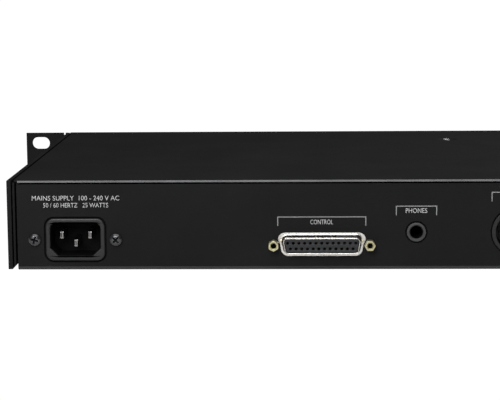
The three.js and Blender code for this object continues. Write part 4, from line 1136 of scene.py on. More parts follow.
def make_inlet():
    width, tall, corner = INLET_SNOUT
    mouth_width, mouth_tall, chamfer, upper = INLET_MOUTH
    half, up = mouth_width / 2, mouth_tall / 2
    corners = [(half, up), (-half, up), (-half, -up + chamfer), (-half + chamfer, -up),
               (half - chamfer, -up), (half, -up + chamfer)]
    mouth = anticlockwise(rounded(corners, [upper, upper, 0.7, 0.7, 0.7, 0.7], 8))
    face = span("mains_inlet_body")[1].y
    floor, back = face - INLET_DEPTH, span("mains_inlet_body")[0].y
    outline = rectangle(width, tall, corner, steps=12)
    slots = []
    for pin in ("live", "neutral", "earth"):
        place = middle(f"mains_pin_{pin}") - INLET
        slots.append(rectangle(2 + SEAT, 4 + SEAT, 0.1, place.x, place.z, 2))
    rear = slab([outline] + slots, back, floor, (0.3, 0))
    screws = [circle(HOLE, COARSE, side * 20.0) for side in (-1, 1)]
    flange = slab([rectangle(*INLET_FLANGE, 3)] + [rectangle(width - 1, tall - 1, corner)] + screws,
                  REAR - PANEL - SEAT - 3, REAR - PANEL - SEAT, 0.3)
    snout = slab([outline, mouth], floor, face, (0, 0.75), 5)
    form = combined(combined(snout, rear, "UNION"), flange, "UNION").moved(INLET.x, 0, INLET.z)
    piece = build("mains_inlet_finished", [(form, inlet_moulding())], sharp=35)
    # Painted shade: the inlet's insides, more than 1 mm behind its face, take the near-black.
    darken(piece, lambda place: place.y < face - 1)
    settle(piece, nodes=["mains_inlet_body"])
    for pin in ("live", "neutral", "earth"):
        node = f"mains_pin_{pin}"
        low, high = span(node)
        nose = [(-0.95 * (1 - math.cos(turn)), high.y - 1 + math.sin(turn))
                for turn in [index / 5 * math.pi / 2 for index in range(6)]]
        form = swept(rectangle(2, 4, 0.1, steps=2), [(0, low.y)] + nose).moved(middle(node).x, 0,
                                                                               middle(node).z)
        blade = build(f"{node}_finished", [(form, blade_nickel())])
        settle(blade, nodes=[node])
    places = []
    for side in ("left", "right"):
        places.append((middle(f"inlet_screw_{side}").x, REAR + SEAT, INLET.z))
    screws = repeated("inlet_screws", "Fasteners", screw_form(3.1, 8), black_zinc(), places,
                      Axis=(0.0, 1.0, 0.0), Seed=4)
    settle(screws, nodes=["inlet_screw_left", "inlet_screw_right"])
    # Painted shade: a thin near-black sheet lies on the floor of each inlet screw's cross recess.
    shadows = repeated("inlet_screw_recesses", "Fasteners", recess_form(3.1), cavity_black(), places,
                       Axis=(0.0, 1.0, 0.0), Seed=4)
    settle(shadows)


CONTACTS = ((13, 1.42), (12, -1.42))  # how many, and their height from the middle
CONTACT_PITCH = 2.77
CONTACT_HOLE = 0.72


def make_remote_connector():
    width, tall, corner = REMOTE_SHELL
    outline = d_shape(width, tall, corner, steps=10)
    flange_front = REAR - PANEL - SEAT
    flange_back = flange_front - 0.8
    rim = REAR + REMOTE_REACH
    fillet = 1.3
    curve = [(fillet * (1 - math.sin(turn)), flange_front + fillet * (1 - math.cos(turn)))
             for turn in [index / 6 * math.pi / 2 for index in range(7)]]
    wall = REMOTE_WALL / 2
    lip = [(-wall + wall * math.cos(turn), rim - wall + wall * math.sin(turn))
           for turn in [index / 6 * math.pi for index in range(7)]]
    profile = [(fillet + 0.4, flange_back)] + [(fillet + 0.4, flange_front)] + curve + lip
    profile += [(-REMOTE_WALL, flange_back)]
    skirt = swept(outline, profile, hollow=True)
    screws = [circle(HOLE, COARSE, side * 23.52) for side in (-1, 1)]
    flange = slab([rectangle(53.1, 12.5, 1.5), grown(outline, 0.6)] + screws, flange_back, flange_front, 0.15)
    shell = combined(skirt, flange, "UNION").moved(REMOTE.x, 0, REMOTE.z)
    piece = build("remote_shell_finished", [(shell, bright_tin())], sharp=35)
    piece.data.materials.append(skirt_tin())
    for face in piece.data.polygons:
        if flange_front + 0.15 < face.center.y / MM < rim - 0.3:
            face.material_index = 1
    settle(piece, nodes=["remote_connector_shell"])

    inset = REMOTE_WALL + SEAT
    face = rim - 0.5
    holes = [circle(CONTACT_HOLE, 16, (index - (count - 1) / 2) * CONTACT_PITCH, height)
             for count, height in CONTACTS for index in range(count)]
    front = slab([grown(outline, -inset)] + holes, face - 5, face, 0.12, 2)
    middle_block = slab([grown(outline, -inset)], flange_back - 0.5, face - 5)
    back = slab([rectangle(width + 4, 10.6, 1, steps=3)], flange_back - 9, flange_back - SEAT, 0.3)
    form = combined(combined(front, middle_block, "UNION"), back, "UNION").moved(REMOTE.x, 0, REMOTE.z)
    body = build("remote_insulator_finished", [(form, insulator())], sharp=35)
    settle(body, nodes=["remote_connector_insulator"])
    sleeve = lathed([(0.68, 0.0), (0.68, 2.4), (0.6, 2.5), (0.45, 2.3), (0.45, 0.0)], 12)
    for label, (count, height) in zip(("upper", "lower"), CONTACTS):
        start = (REMOTE.x - (count - 1) / 2 * CONTACT_PITCH, face - 4.9, REMOTE.z + height)
        contacts = repeated(f"remote_contacts_{label}", "Rank", sleeve, gold(), Columns=count, Rows=1,
                            Start=metres(*start), Column_Step=metres(CONTACT_PITCH, 0, 0))
        settle(contacts)

    radius, reach = 2.72, 5.0
    for side, turn in (("left", 30), ("right", 0)):
        node = f"remote_jackscrew_{side}"
        low, high = span(node)
        prism = swept([Vector((radius * math.cos(math.radians(60 * k)),
                               radius * math.sin(math.radians(60 * k))))
                       for k in range(6)], [(0, REAR + SEAT), (0, REAR + reach)])
        thread = []
        for ridge in range(9):
            y = REAR + reach - 0.5 - 0.4 * ridge
            thread += [(1.3, y), (1.5, y - 0.2)]
        outer = [(0, REAR), (2.3, REAR), (2.3, REAR + SEAT), (2.9, REAR + SEAT + 0.45),
                 (2.9, REAR + reach - 0.45), (2.25, REAR + reach), (1.75, REAR + reach),
                 (1.5, REAR + reach - 0.3)]
        envelope = lathed(outer + thread + [(0, REAR + 1.0)], 48)
        pillar = combined(prism, envelope, "INTERSECT")
        stud = rod(SHANK, low.y, REAR + SEAT + 0.3, 0.2, COARSE)
        form = combined(pillar.turned(turn), stud, "UNION").moved((low.x + high.x) / 2, 0, REMOTE.z)
        screw = build(f"{node}_finished", [(form, yellow_zinc())], sharp=30)
        axis = Vector((middle(node).x, 0, REMOTE.z))
        # Painted shade: the faces inside each jackscrew's threaded bore take the near-black.
        bore = lambda place: (place.xz - axis.xz).length < 1.45 and REAR < place.y < REAR + reach - 0.5
        darken(screw, bore)
        settle(screw, nodes=[node])


def make_monitor_jack():
    low, high = span("monitor_jack")
    front = REAR - PANEL - SEAT
    body = brick(low.x, high.x, low.y, front, low.z, high.z, 0.5)
    ring = rod(RING_RADIUS, front - 0.5, high.y, 0.35).moved(JACK_X, 0, JACK_Z)
    throat = [(0, high.y - 21), (JACK_BORE, high.y - 21), (JACK_BORE, high.y - 0.5),
              (JACK_BORE + 0.55, high.y + 0.1),
              (JACK_BORE + 0.55, high.y + 2), (0, high.y + 2)]
    bore = lathed(throat).moved(JACK_X, 0, JACK_Z)
    form = combined(combined(body, ring, "UNION"), bore)
    piece = build("monitor_jack_finished", [(form, grey_moulding())], sharp=35)
    # Painted shade: every face more than 0.4 mm behind the panel's face, the bore's inside among them, takes
    # the near-black.
    darken(piece, lambda place: place.y < REAR - 0.4)
    settle(piece, nodes=["monitor_jack"])


def audio_flange():
    """The square plate of an audio connector, behind the panel."""
    front = REAR - PANEL - SEAT
    return slab([rectangle(26, 30, 2), circle(AUDIO_CUP + 0.8, FINE)], front - 2, front, 0.2)


def make_outputs():
    rim = span("output_1_shell")[1].y
    back = span("output_1_shell")[0].y
    corners = [(AUDIO_CUP, back), (AUDIO_RING, back), (AUDIO_RING, rim), (AUDIO_CUP, rim)]
    ring = lathed([(x, y) for x, y in rounded(corners, [0.1, 0.2, 0.4, 0.5], 4)], 96)
    shell = combined(ring, audio_flange(), "UNION")
    for number, place in enumerate(OUTPUTS, 1):
        form = shell.moved(place.x, 0, AUDIO_Z)
        piece = build(f"output_{number}_shell_finished", [(form, connector_metal())], sharp=35)
        # Painted shade: every face more than 0.4 mm behind the panel's face, the cup's inside among them,
        # takes the near-black.
        darken(piece, lambda place: place.y < REAR - 0.4)
        settle(piece, nodes=[f"output_{number}_shell"])
        node = f"output_{number}_insert"
        floor = back + 4
        corners = [(0, back), (AUDIO_CUP - SEAT, back), (AUDIO_CUP - SEAT, floor), (AUDIO_CUP - 2, floor),
                   (AUDIO_CUP - 2.4, floor - 0.6), (0, floor - 0.6)]
        disc = lathed([(x, y) for x, y in rounded(corners, 0.15, 2, is_open=True)])
        insert = build(f"{node}_finished", [(disc.moved(place.x, 0, AUDIO_Z), ink_black())])
        settle(insert, nodes=[node])
        tip = floor + 12
        pin_corners = [(0, floor - 1), (1.2, floor - 1), (1.2, tip), (0, tip)]
        pin = lathed([(x, y) for x, y in rounded(pin_corners, [0, 0, 0.9, 0], 5, is_open=True)], 20)
        pins = repeated(f"output_{number}_contacts", "Ring", pin.moved(PINS, 0, 0), contact_tin(), Count=3,
                        Centre=metres(place.x, 0, AUDIO_Z), Step=math.tau / 3, First=math.radians(30))
        settle(pins)


LATCH_BOSS = (5.45, 15.35)  # half width, and top above the connector's middle


def make_inputs():
    low, high = span("input_1_shell")
    rim, back = high.y, low.y
    latch_low, latch_high = span("input_1_latch")
    slot_z = ((latch_low.z + latch_high.z) / 2) - AUDIO_Z
    half, top = LATCH_BOSS
    body = rod(AUDIO_RING, back, rim, 0.35, 96)
    boss = brick(-half, half, back, rim, 4.0, top, 0.35, 3)
    cup = [(0, back - 1), (AUDIO_CUP, back - 1), (AUDIO_CUP, rim - 0.5), (AUDIO_CUP + 0.5, rim),
           (AUDIO_CUP + 0.5, rim + 2),
           (0, rim + 2)]
    slot = brick(-4.05, 4.05, back - 1, rim + 1, slot_z - 1.65, slot_z + 1.65, 0.2)
    shell = combined(combined(body, boss, "UNION"), lathed(cup, 96) + slot)
    shell = combined(shell, audio_flange(), "UNION")
    floor = back + 4
    corners = [(0, back), (AUDIO_CUP - SEAT, back), (AUDIO_CUP - SEAT, floor), (7.8, floor), (7.8, REAR),
               (0, REAR)]
    core = lathed([(x, y) for x, y in rounded(corners, [0, 0.1, 0.1, 0.2, 0.5, 0], 4, is_open=True)])
    holes = [reamer(1.4, REAR - 12, REAR + 1, sides=COARSE).moved(PINS, 0, 0).turned(-turn)
             for turn in CONTACT_TURNS]
    key = brick(-1.2, 1.2, REAR - 8, REAR + 1, 6.6, 9.0, 0.2)
    core = combined(core, together(holes + [key]))
    sleeve = lathed([(1.36, REAR - 11.8), (1.36, REAR - 1.2), (1.1, REAR - 1.0), (0.95, REAR - 1.3),
                     (0.95, REAR - 11.8)], 20)
    for number, place in enumerate(INPUTS, 1):
        form = shell.moved(place.x, 0, AUDIO_Z)
        piece = build(f"input_{number}_shell_finished", [(form, connector_metal())], sharp=35)
        # Painted shade: every face more than 0.4 mm behind the panel's face, the cup's inside among them,
        # takes the near-black.
        darken(piece, lambda place: place.y < REAR - 0.4)
        settle(piece, nodes=[f"input_{number}_shell"])
        node = f"input_{number}_insert"
        insert = build(f"{node}_finished", [(core.moved(place.x, 0, AUDIO_Z), ink_black())], sharp=35)
        settle(insert, nodes=[node])
        sleeves = repeated(f"input_{number}_contacts", "Ring", sleeve.moved(PINS, 0, 0), contact_tin(),
                           Count=3,
                           Centre=metres(place.x, 0, AUDIO_Z), Step=math.tau / 3, First=math.radians(30))
        settle(sleeves)
        latch = f"input_{number}_latch"
        tab = build(f"{latch}_finished", [(cad_form(latch), latch_metal())], 0.3)
        settle(tab, body_of(latch), [latch])


def make_data_sockets():
    low, high = span("control_data_socket_1")
    front = REAR - PANEL - SEAT
    body = brick(-10, 10, low.y, front, low.z, high.z, 0.4)
    collar = rod(SOCKET_CUT - SEAT, front - 0.5, high.y, 0.35).moved(0, 0, AUDIO_Z)
    form = combined(body, collar, "UNION")
    groove = lathed([(5.6, REAR - 8), (6.9, REAR - 8), (6.9, high.y - 0.3), (7.2, high.y + 1),
                     (5.3, high.y + 1),
                     (5.6, high.y - 0.3)]).moved(0, 0, AUDIO_Z)
    key = brick(-1.1, 1.1, REAR - 8, REAR + 2, AUDIO_Z - 6.8, AUDIO_Z - 4.4, 0.15)
    holes = [reamer(0.8, REAR - 8, REAR + 2, sides=16).moved(3.6, 0, 0).turned(-45 * k).moved(0, 0, AUDIO_Z)
             for k in range(5)]
    form = combined(combined(form, groove), together([key] + holes))
    sleeve = lathed([(0.76, REAR - 7.8), (0.76, REAR - 0.3), (0.55, REAR - 0.4), (0.5, REAR - 7.8)], 12)
    for number in (1, 2):
        node = f"control_data_socket_{number}"
        x = middle(node).x
        piece = build(f"{node}_finished", [(form.moved(x, 0, 0), black_moulding())], sharp=35)
        settle(piece, nodes=[node])
        sleeves = repeated(f"{node}_contacts", "Ring", sleeve.moved(3.6, 0, 0), contact_tin(), Count=5,
                           Centre=metres(x, 0, AUDIO_Z), Step=-math.pi / 4, First=0.0)
        settle(sleeves)


def make_cover_screw():
    low, _ = span("cover_screw")
    head = 2.8
    form = screw_form(head, 10, 0.4).along_z()
    place = middle("cover_screw")
    seat = low.z + 10
    piece = repeated("cover_screw_finished", "Fasteners", form, black_zinc(), [(place.x, place.y, seat)],
                     Axis=(0.0, 0.0, 1.0), Seed=2)
    settle(piece, nodes=["cover_screw"])


def make_side_screws():
    for sign, label in ((1, "mains"), (-1, "far")):
        form = screw_form(2.9, 5).along_x()
        if sign < 0:
            form = form.turned(180, "Z")
        places = [(x + sign * SEAT / 2, y, z) for x, y, z in side_screw_places(sign)]
        piece = repeated(f"side_screws_{label}", "Fasteners", form, black_zinc(), places,
                         Axis=(1.0, 0.0, 0.0), Seed=7 + sign)
        settle(piece)


# ---------------------------------------------------------------- rear legends

LINE_THICK = 0.45


def make_rear_legends():
    """Printed words over the connectors, and the lines that gather them into groups."""
    inlet_words = [("MAINS SUPPLY  100 - 240 V AC", 0.5, 43.0, 2.3, 20.6),
                   ("50 / 60 HERTZ   25 WATTS", 0.5, 32.0, 2.2, 17.1)]
    words = [printed(lettering(text, width, tall), REAR_PRINT, INLET.x - shift, REAR, INLET.z + rise)
             for text, shift, width, tall, rise in inlet_words]
    titles = [("CONTROL", REMOTE.x, REMOTE.z + 11.2, 11.0), ("PHONES", JACK_X, JACK_Z + 10.6, 10.4)]
    audio = [(place.x, AUDIO_Z + 16.6) for place in OUTPUTS + INPUTS]
    for (x, z), text in zip(audio, ("LEFT", "RIGHT", "LEFT", "RIGHT")):
        titles.append((text, x, z + 0.9, 6.5))
    for text, places in (("OUTPUTS", OUTPUTS), ("INPUTS", INPUTS)):
        titles.append((text, (places[0].x + places[1].x) / 2, AUDIO_Z + 21.6, 12.0))
    for text, place in zip(("DATA IN", "DATA OUT"), SOCKETS):
        titles.append((text, place.x, AUDIO_Z + 12.9, 11.0))
    words += [printed(lettering(text, width, 2.3), REAR_PRINT, x, REAR, z) for text, x, z, width in titles]
    piece = build("rear_lettering", [(together(words), ink())])
    settle(piece)
    lines = [bracket(REMOTE.x - 21.7, REMOTE.x + 21.7, REMOTE.z + 13.9, 4.6, REAR, LINE_THICK),
             bracket(JACK_X - 10.0, JACK_X + 10.0, JACK_Z + 13.0, 4.7, REAR, LINE_THICK)]
    for places in (OUTPUTS, INPUTS):
        lines.append(bracket(places[0].x + 11.7, places[1].x - 11.7, AUDIO_Z + 19.7, 4.7, REAR, LINE_THICK))
    lines.append(bracket(SOCKETS[0].x + 9, SOCKETS[1].x - 9, AUDIO_Z + 15.8, 4.0, REAR, LINE_THICK))
    piece = build("rear_lines", [(together(lines), line_ink())])
    settle(piece)


# ---------------------------------------------------------------- front panel

FACE = span("front_fascia")[0].y  # the fascia's front
FASCIA_BACK = span("front_fascia")[1].y
CONTROL_Z = middle("front_fascia").z
FASCIA_TO_FOLD = 0.55  # the fascia fills the corner of the ear's fold
BUTTONS = [f"push_button_{number}" for number in range(1, 7)]
KNOBS = ("input_level", "output_level", "data_wheel")
BUTTON_CAP = (10.0, 6.0, 1.0)
BUTTON_FLANGE = 0.9
BEZEL = (17.0, 27.0, 1.5)
SWITCH_BODY = (14.4, 24.4)
SWITCH_WINDOW = (11.5, 21.3)
RUNNING_GAP = 0.25
DIAL_SWEEP = math.radians(300)


def pane_loop(node, grow=0.0):
    """A window's outline on the fascia."""
    low, high = span(node)
    width, tall = high.x - low.x + 2 * grow, high.z - low.z + 2 * grow
    return rectangle(width, tall, 2 + grow, (low.x + high.x) / 2, (low.z + high.z) / 2)


def make_fascia():
    low, high = span("front_fascia")
    width, tall, corner = BUTTON_CAP
    gap = 2 * RUNNING_GAP
    width_to_folds = high.x - low.x + 2 * FASCIA_TO_FOLD
    loops = [rectangle(width_to_folds, high.z - low.z, 0.1, (low.x + high.x) / 2, CONTROL_Z, 3)]
    loops += [pane_loop("display_window", SEAT), pane_loop("meter_window", SEAT)]
    loops += [circle(4.6, 32, middle(f"{title}_shaft").x, CONTROL_Z) for title in KNOBS]
    for node in BUTTONS:
        place = middle(node)
        loops.append(rectangle(width + gap, tall + gap, corner + RUNNING_GAP, place.x, place.z, 4))
    switch = middle("power_switch_body")
    loops.append(rectangle(SWITCH_BODY[0] + 2 * SEAT, SWITCH_BODY[1] + 2 * SEAT, 0.2, switch.x, switch.z, 2))
    piece = build("front_fascia_finished", [(slab(loops, low.y, high.y, (0.35, 0.15)), fascia_black())],
                  sharp=35)
    settle(piece, nodes=["front_fascia"])


def make_knobs():
    """Each knob is a turned body with gripping ribs, a bright cap and a pointer line."""
    for title in KNOBS:
        node = f"{title}_knob"
        low, high = span(node)
        radius = (high.x - low.x) / 2
        x = (low.x + high.x) / 2
        grip = 0.9 * radius
        corners = [(0, low.y + 0.5), (0.7 * radius, low.y + 0.5), (0.74 * radius, low.y), (grip - 0.6, low.y),
                   (grip, low.y + 0.8), (0.93 * radius, high.y - 2.6), (radius, high.y - 1.8),
                   (radius, high.y),
                   (radius - 1.2, high.y), (radius - 1.2, high.y - 1.2), (3.1, high.y - 1.2),
                   (3.1, low.y + 2), (0, low.y + 2)]
        radii = [0, 0.1, 0.2, 0.5, 0.8, 0.5, 0.5, 0.2, 0.2, 0.2, 0.1, 0.1, 0]
        body = lathed([(max(a, 0.0), b) for a, b in rounded(corners, radii, 4, is_open=True)], 72)
        piece = build(f"{node}_finished", [(body.moved(x, 0, CONTROL_Z), black_moulding())], sharp=35)
        settle(piece, body_of(node), [node])
        count = 30 if title == "data_wheel" else 24
        rib = brick(-0.35, 0.35, low.y + 1.6, high.y - 3.0, grip - 0.6, grip + 0.55, 0.25)
        ribs = repeated(f"{title}_knob_ribs", "Ring", rib, black_moulding(), Count=count,
                        Centre=metres(x, 0, CONTROL_Z), Step=math.tau / count, First=0.0)
        settle(ribs, body_of(node))
        cap = rod(0.66 * radius, low.y + 0.2, low.y + 0.9, 0.2).moved(x, 0, CONTROL_Z)
        disc = build(f"{title}_knob_cap", [(cap, shaft_metal())], sharp=35)
        settle(disc, body_of(node))
        if title == "data_wheel":
            mark = rod(1.6, low.y + 0.05, low.y + 0.4, 0.12, COARSE).moved(x, 0, CONTROL_Z + 0.45 * radius)
        else:
            mark = brick(x - 0.5, x + 0.5, low.y + 0.05, low.y + 0.4, CONTROL_Z + 2.0,
                         CONTROL_Z + 0.62 * radius, 0.12)
        pointer = build(f"{title}_knob_pointer", [(mark, ink())])
        settle(pointer, body_of(node))
        shaft = f"{title}_shaft"
        made = build(f"{shaft}_finished", [(cad_form(shaft), shaft_metal())], 0.2)
        settle(made, body_of(shaft), [shaft])
        pot = f"{title}_pot"
        made = build(f"{pot}_finished", [(cad_form(pot), pot_body())], 0.3)
        settle(made, nodes=[pot])


def make_buttons():
    """Each push-button is a cap, a flange that holds it and a stem; green lamps sit beside them."""
    width, tall, corner = BUTTON_CAP
    for node in BUTTONS:
        low, high = span(node)
        place = middle(node)
        cap = slab([rectangle(width, tall, corner, steps=5)], low.y, FASCIA_BACK + 1, (0.6, 0), 4)
        flange = brick(-width / 2 - BUTTON_FLANGE, width / 2 + BUTTON_FLANGE, FASCIA_BACK + SEAT,
                       FASCIA_BACK + SEAT + 1,
                       -tall / 2 - BUTTON_FLANGE, tall / 2 + BUTTON_FLANGE, 0.2)
        stem = brick(-1.5, 1.5, FASCIA_BACK + 1, high.y, -1.5, 1.5, 0.2)
        form = combined(combined(cap, flange, "UNION"), stem, "UNION").moved(place.x, 0, place.z)
        piece = build(f"{node}_finished", [(form, button_moulding())], sharp=35)
        settle(piece, body_of(node), [node])
    lamps = rod(0.9, FACE - 0.5, FACE + 0.6, 0.3, 20)
    top, bottom = middle(BUTTONS[0]), middle(BUTTONS[3])
    pitch = middle(BUTTONS[1]).x - top.x
    start = metres(top.x + 7.2, 0, bottom.z)
    lights = repeated("button_lamps", "Rank", lamps, lamp("green_lamp", (0.1, 0.8, 0.15)), Columns=3, Rows=2,
                      Start=start, Column_Step=metres(pitch, 0, 0), Row_Step=metres(0, 0, top.z - bottom.z))
    settle(lights)


def make_power_switch():
    """The switch is a bezel with its body behind it, solder tabs at the back and a rocker in its window."""
    place = middle("power_switch_body")
    low, high = span("power_switch_body")
    bezel = slab([rectangle(*BEZEL, steps=5), rectangle(*SWITCH_WINDOW, 0.4, steps=3)],
                 low.y, FACE - SEAT, 0.4)
    body = slab([rectangle(*SWITCH_BODY, 0.5, steps=3), rectangle(*SWITCH_WINDOW, 0.4, steps=3)],
                FACE - SEAT - 0.3, FACE + 7)
    back = brick(-SWITCH_BODY[0] / 2, SWITCH_BODY[0] / 2, FACE + 7, high.y, -SWITCH_BODY[1] / 2,
                 SWITCH_BODY[1] / 2, 0.2)
    form = combined(combined(bezel, body, "UNION"), back, "UNION").moved(place.x, 0, place.z)
    piece = build("power_switch_body_finished", [(form, black_moulding())], sharp=35)
    settle(piece, nodes=["power_switch_body"])
    blades = brick(-0.4, 0.4, high.y - 0.5, high.y + 6, -2.2, 2.2, 0.2).moved(place.x, 0, place.z - 7)
    tabs = repeated("power_switch_tabs", "Rank", blades, contact_tin(), Columns=2, Rows=2,
                    Start=metres(-3.5, 0, 0),
                    Column_Step=metres(7, 0, 0), Row_Step=metres(0, 0, 14))
    settle(tabs)
    rocker = build("power_rocker_finished", [(cad_form("power_rocker"), button_moulding())], 0.5)
    settle(rocker, body_of("power_rocker"), ["power_rocker"])


def make_glazing():
    for node in ("display_window", "meter_window"):
        low, high = span(node)
        piece = build(f"{node}_finished", [(slab([pane_loop(node)], low.y, high.y, (0.25, 0.1)),
                                            smoked_window())], sharp=35)
        settle(piece, nodes=[node])
    low, high = span("display_module")
    body = build("display_module_finished", [(cad_form("display_module"), display_body())], 0.4)
    settle(body, nodes=["display_module"])
    low, high = span("meter_module")
    body = build("meter_module_finished", [(cad_form("meter_module"), meter_body())], 0.4)
    settle(body, nodes=["meter_module"])


def make_front_legends():
    """Ticks round the level knobs, numbers beside the push-buttons and plain words."""
    for title in KNOBS[:2]:
        low, high = span(f"{title}_knob")
        x, radius = (low.x + high.x) / 2, (high.x - low.x) / 2
        tick = stroke(-0.2, 0.2, radius + 1.2, radius + 2.8, FACE, -1)
        ticks = repeated(f"{title}_ticks", "Ring", tick, ink(), Count=11, Centre=metres(x, 0, CONTROL_Z),
                         Step=DIAL_SWEEP / 10, First=-DIAL_SWEEP / 2)
        settle(ticks)
    titles = [("INPUT", middle("input_level_shaft").x, 3.4, 8.5),
              ("OUTPUT", middle("output_level_shaft").x, 3.4, 10.5),
              ("LEVEL", middle("meter_window").x, 9.5, 8.5),
              ("VALUE", middle("data_wheel_shaft").x, 3.4, 8.5),
              ("POWER", middle("power_switch_body").x, 4.4, 9.0)]
    words = [printed(lettering(text, width, 1.9), FRONT_PRINT, x, FACE, z) for text, x, z, width in titles]
    for number, node in enumerate(BUTTONS, 1):
        place = middle(node)
        words.append(printed(lettering(str(number), 1.2, 1.9), FRONT_PRINT, place.x - 7.3, FACE, place.z))
    piece = build("front_lettering", [(together(words), ink())])
    settle(piece)


# ---------------------------------------------------------------- inside


def make_boards():
    for node, material, slot in (("main_board", main_laminate(), "main_laminate"),
                                 ("power_board", power_laminate(), "power_laminate"),
                                 ("front_board", main_laminate(), "main_laminate")):
        piece = build(f"{node}_finished", [(cad_form(node), material)], 0.12)
        settle(piece, nodes=[node])
    low, high = span("main_board")
    chip = brick(-4, 4, -2.6, 2.6, 0.15, 2.0, 0.3)
    chips = repeated("main_board_chips", "Rank", chip, chip_package(), Columns=9, Rows=4,
                     Start=metres(low.x + 22, low.y + 62, high.z), Column_Step=metres(14.5, 0, 0),
                     Row_Step=metres(0, 13, 0), Share=0.8, Seed=5)
    settle(chips)
    resistor = rod(0.9, -2.6, 2.6, 0.5, 12).moved(0, 0, 1.05)
    resistors = repeated("main_board_resistors", "Rank", resistor, wire("resistor_body", (0.32, 0.22, 0.1)),
                         Columns=34,
                         Rows=3, Start=metres(low.x + 14, low.y + 112, high.z + 0.1),
                         Column_Step=metres(4.4, 0, 0),
                         Row_Step=metres(0, 9, 0), Share=0.85, Seed=11)
    settle(resistors)
    can = rod(2.5, 0.1, 7.0, 0.5, 20).along_z()
    cans = repeated("main_board_capacitors", "Rank", can, can_sleeve(), Columns=10, Rows=2,
                    Start=metres(low.x + 180, low.y + 24, high.z), Column_Step=metres(12, 0, 0),
                    Row_Step=metres(0, 88, 0), Share=0.9, Seed=3)
    settle(cans)
    screws = []
    for node in ("main_board", "power_board"):
        low, high = span(node)
        for x in (low.x + 5, high.x - 5):
            for y in (low.y + 5, high.y - 29):
                screws.append((x, y, high.z + SEAT / 2))
    fixed = repeated("board_screws", "Fasteners", screw_form(2.6, 3).along_z(), bright_tin(), screws,
                     Axis=(0.0, 0.0, 1.0), Seed=9)
    settle(fixed)


def make_processor():
    low, high = span("signal_processor")
    body = brick(low.x, high.x, low.y, high.y, low.z, high.z, 0.4)
    dimple = rod(1.0, high.z - 0.2, high.z + 1, sides=COARSE).along_z().moved(low.x + 3, high.y - 3, 0)
    piece = build("signal_processor_finished", [(combined(body, dimple), chip_package())], sharp=35)
    settle(piece, nodes=["signal_processor"])
    lead = brick(-0.15, 0.15, 0.0, 1.2, -0.15, 0.05, 0.04, 1) + brick(-0.15, 0.15, -0.2, 0.1, -0.1, 1.4, 0.04,
                                                                      1)
    for label, x, y, turn in (("rear", low.x, high.y, 0), ("front", high.x, low.y, 180),
                              ("far", low.x, low.y, 90), ("mains", high.x, high.y, -90)):
        step = Matrix.Rotation(math.radians(turn), 3, "Z") @ Vector((1.27, 0, 0))
        start = Vector((x, y, low.z + 0.05)) + step * 1.4
        leads = repeated(f"signal_processor_leads_{label}", "Rank", lead.turned(turn, "Z"), contact_tin(),
                         Columns=20,
                         Start=metres(*start), Column_Step=metres(*step))
        settle(leads)


def make_ribbon():
    piece = build("ribbon_cable_finished", [(cad_form("ribbon_cable"), ribbon_jacket())], 0.15)
    settle(piece, nodes=["ribbon_cable"])


def make_power_parts():
    low, high = span("mains_transformer")
    core = brick(low.x, high.x, low.y + 6, high.y - 6, low.z + 2, high.z, 0.6)
    bobbin = brick(low.x + 6, high.x - 6, low.y, high.y, low.z, high.z - 3, 0.8)
    form = combined(core, bobbin, "UNION")
    body = build("mains_transformer_finished", [(form, ferrite())], sharp=35)
    settle(body, nodes=["mains_transformer"])
    for label, y0, y1 in (("front", low.y - 0.15, low.y + 5.8), ("rear", high.y - 5.8, high.y + 0.15)):
        wrap = slab([rectangle(high.x - low.x - 11.6, high.z - low.z - 3.2, 1.2, (low.x + high.x) / 2,
                               (low.z + high.z) / 2 - 1.5)], y0, y1, 0.4)
        tape = build(f"mains_transformer_tape_{label}", [(wrap, winding_tape())], sharp=35)
        settle(tape)
    low, high = span("reservoir_capacitor")
    radius, x, y = (high.x - low.x) / 2, (low.x + high.x) / 2, (low.y + high.y) / 2
    corners = [(0, low.z), (radius, low.z), (radius, high.z - 3.4), (radius - 0.7, high.z - 2.8),
               (radius, high.z - 2.2), (radius, high.z), (radius - 1.5, high.z),
               (radius - 1.7, high.z - 0.3), (0, high.z - 0.3)]
    profile = [(max(a, 0.0), b) for a, b in rounded(corners, [0, 0.5, 0.5, 0.6, 0.5, 0.8, 0.1, 0.1, 0], 4,
                                                    is_open=True)]
    can = build("reservoir_capacitor_finished", [(lathed(profile).along_z().moved(x, y, 0), can_sleeve())],
                sharp=35)
    settle(can, nodes=["reservoir_capacitor"])
    sink = build("heat_sink_finished", [(cad_form("heat_sink"), sink_metal())], 0.3)
    settle(sink, nodes=["heat_sink"])
    for name, colour in (("live", (0.15, 0.045, 0.015)), ("neutral", (0.02, 0.07, 0.3))):
        node = f"mains_wire_{name}"
        piece = build(f"{node}_finished", [(cad_form(node), wire(f"{name}_wire", colour))], sharp=60)
        settle(piece, nodes=[node])


# ---------------------------------------------------------------- stage


def white_world():
    """White behind the unit, and a softer grey for its reflections and fill."""
    settings = bpy.context.scene.rack_unit.stage
    world = bpy.data.worlds.new("studio")
    bpy.context.scene.world = world
    world.use_nodes = True
    nodes = Nodes(world.node_tree)
    base = world.node_tree.nodes["Background"]
    base.inputs["Color"].default_value = rgb(settings.fill)
    seen = nodes.add("ShaderNodeBackground", {"Color": (1, 1, 1, 1), "Strength": 1.1})
    direct = nodes.add("ShaderNodeLightPath").outputs["Is Camera Ray"]
    mixed = nodes.add("ShaderNodeMixShader", {0: direct, 1: base.outputs[0], 2: seen.outputs[0]})
    out = world.node_tree.nodes["World Output"]
    world.node_tree.links.new(mixed.outputs[0], out.inputs["Surface"])


def area_light(name, place, aim, size, power):
    light = bpy.data.lights.new(name, "AREA")
    light.shape = "RECTANGLE"
    light.size, light.size_y = size
    light.energy = power
    lamp_object = put_in_scene(name, light)
    lamp_object.location = place
    lamp_object.rotation_euler = (Vector(aim) - Vector(place)).to_track_quat("-Z", "Y").to_euler()


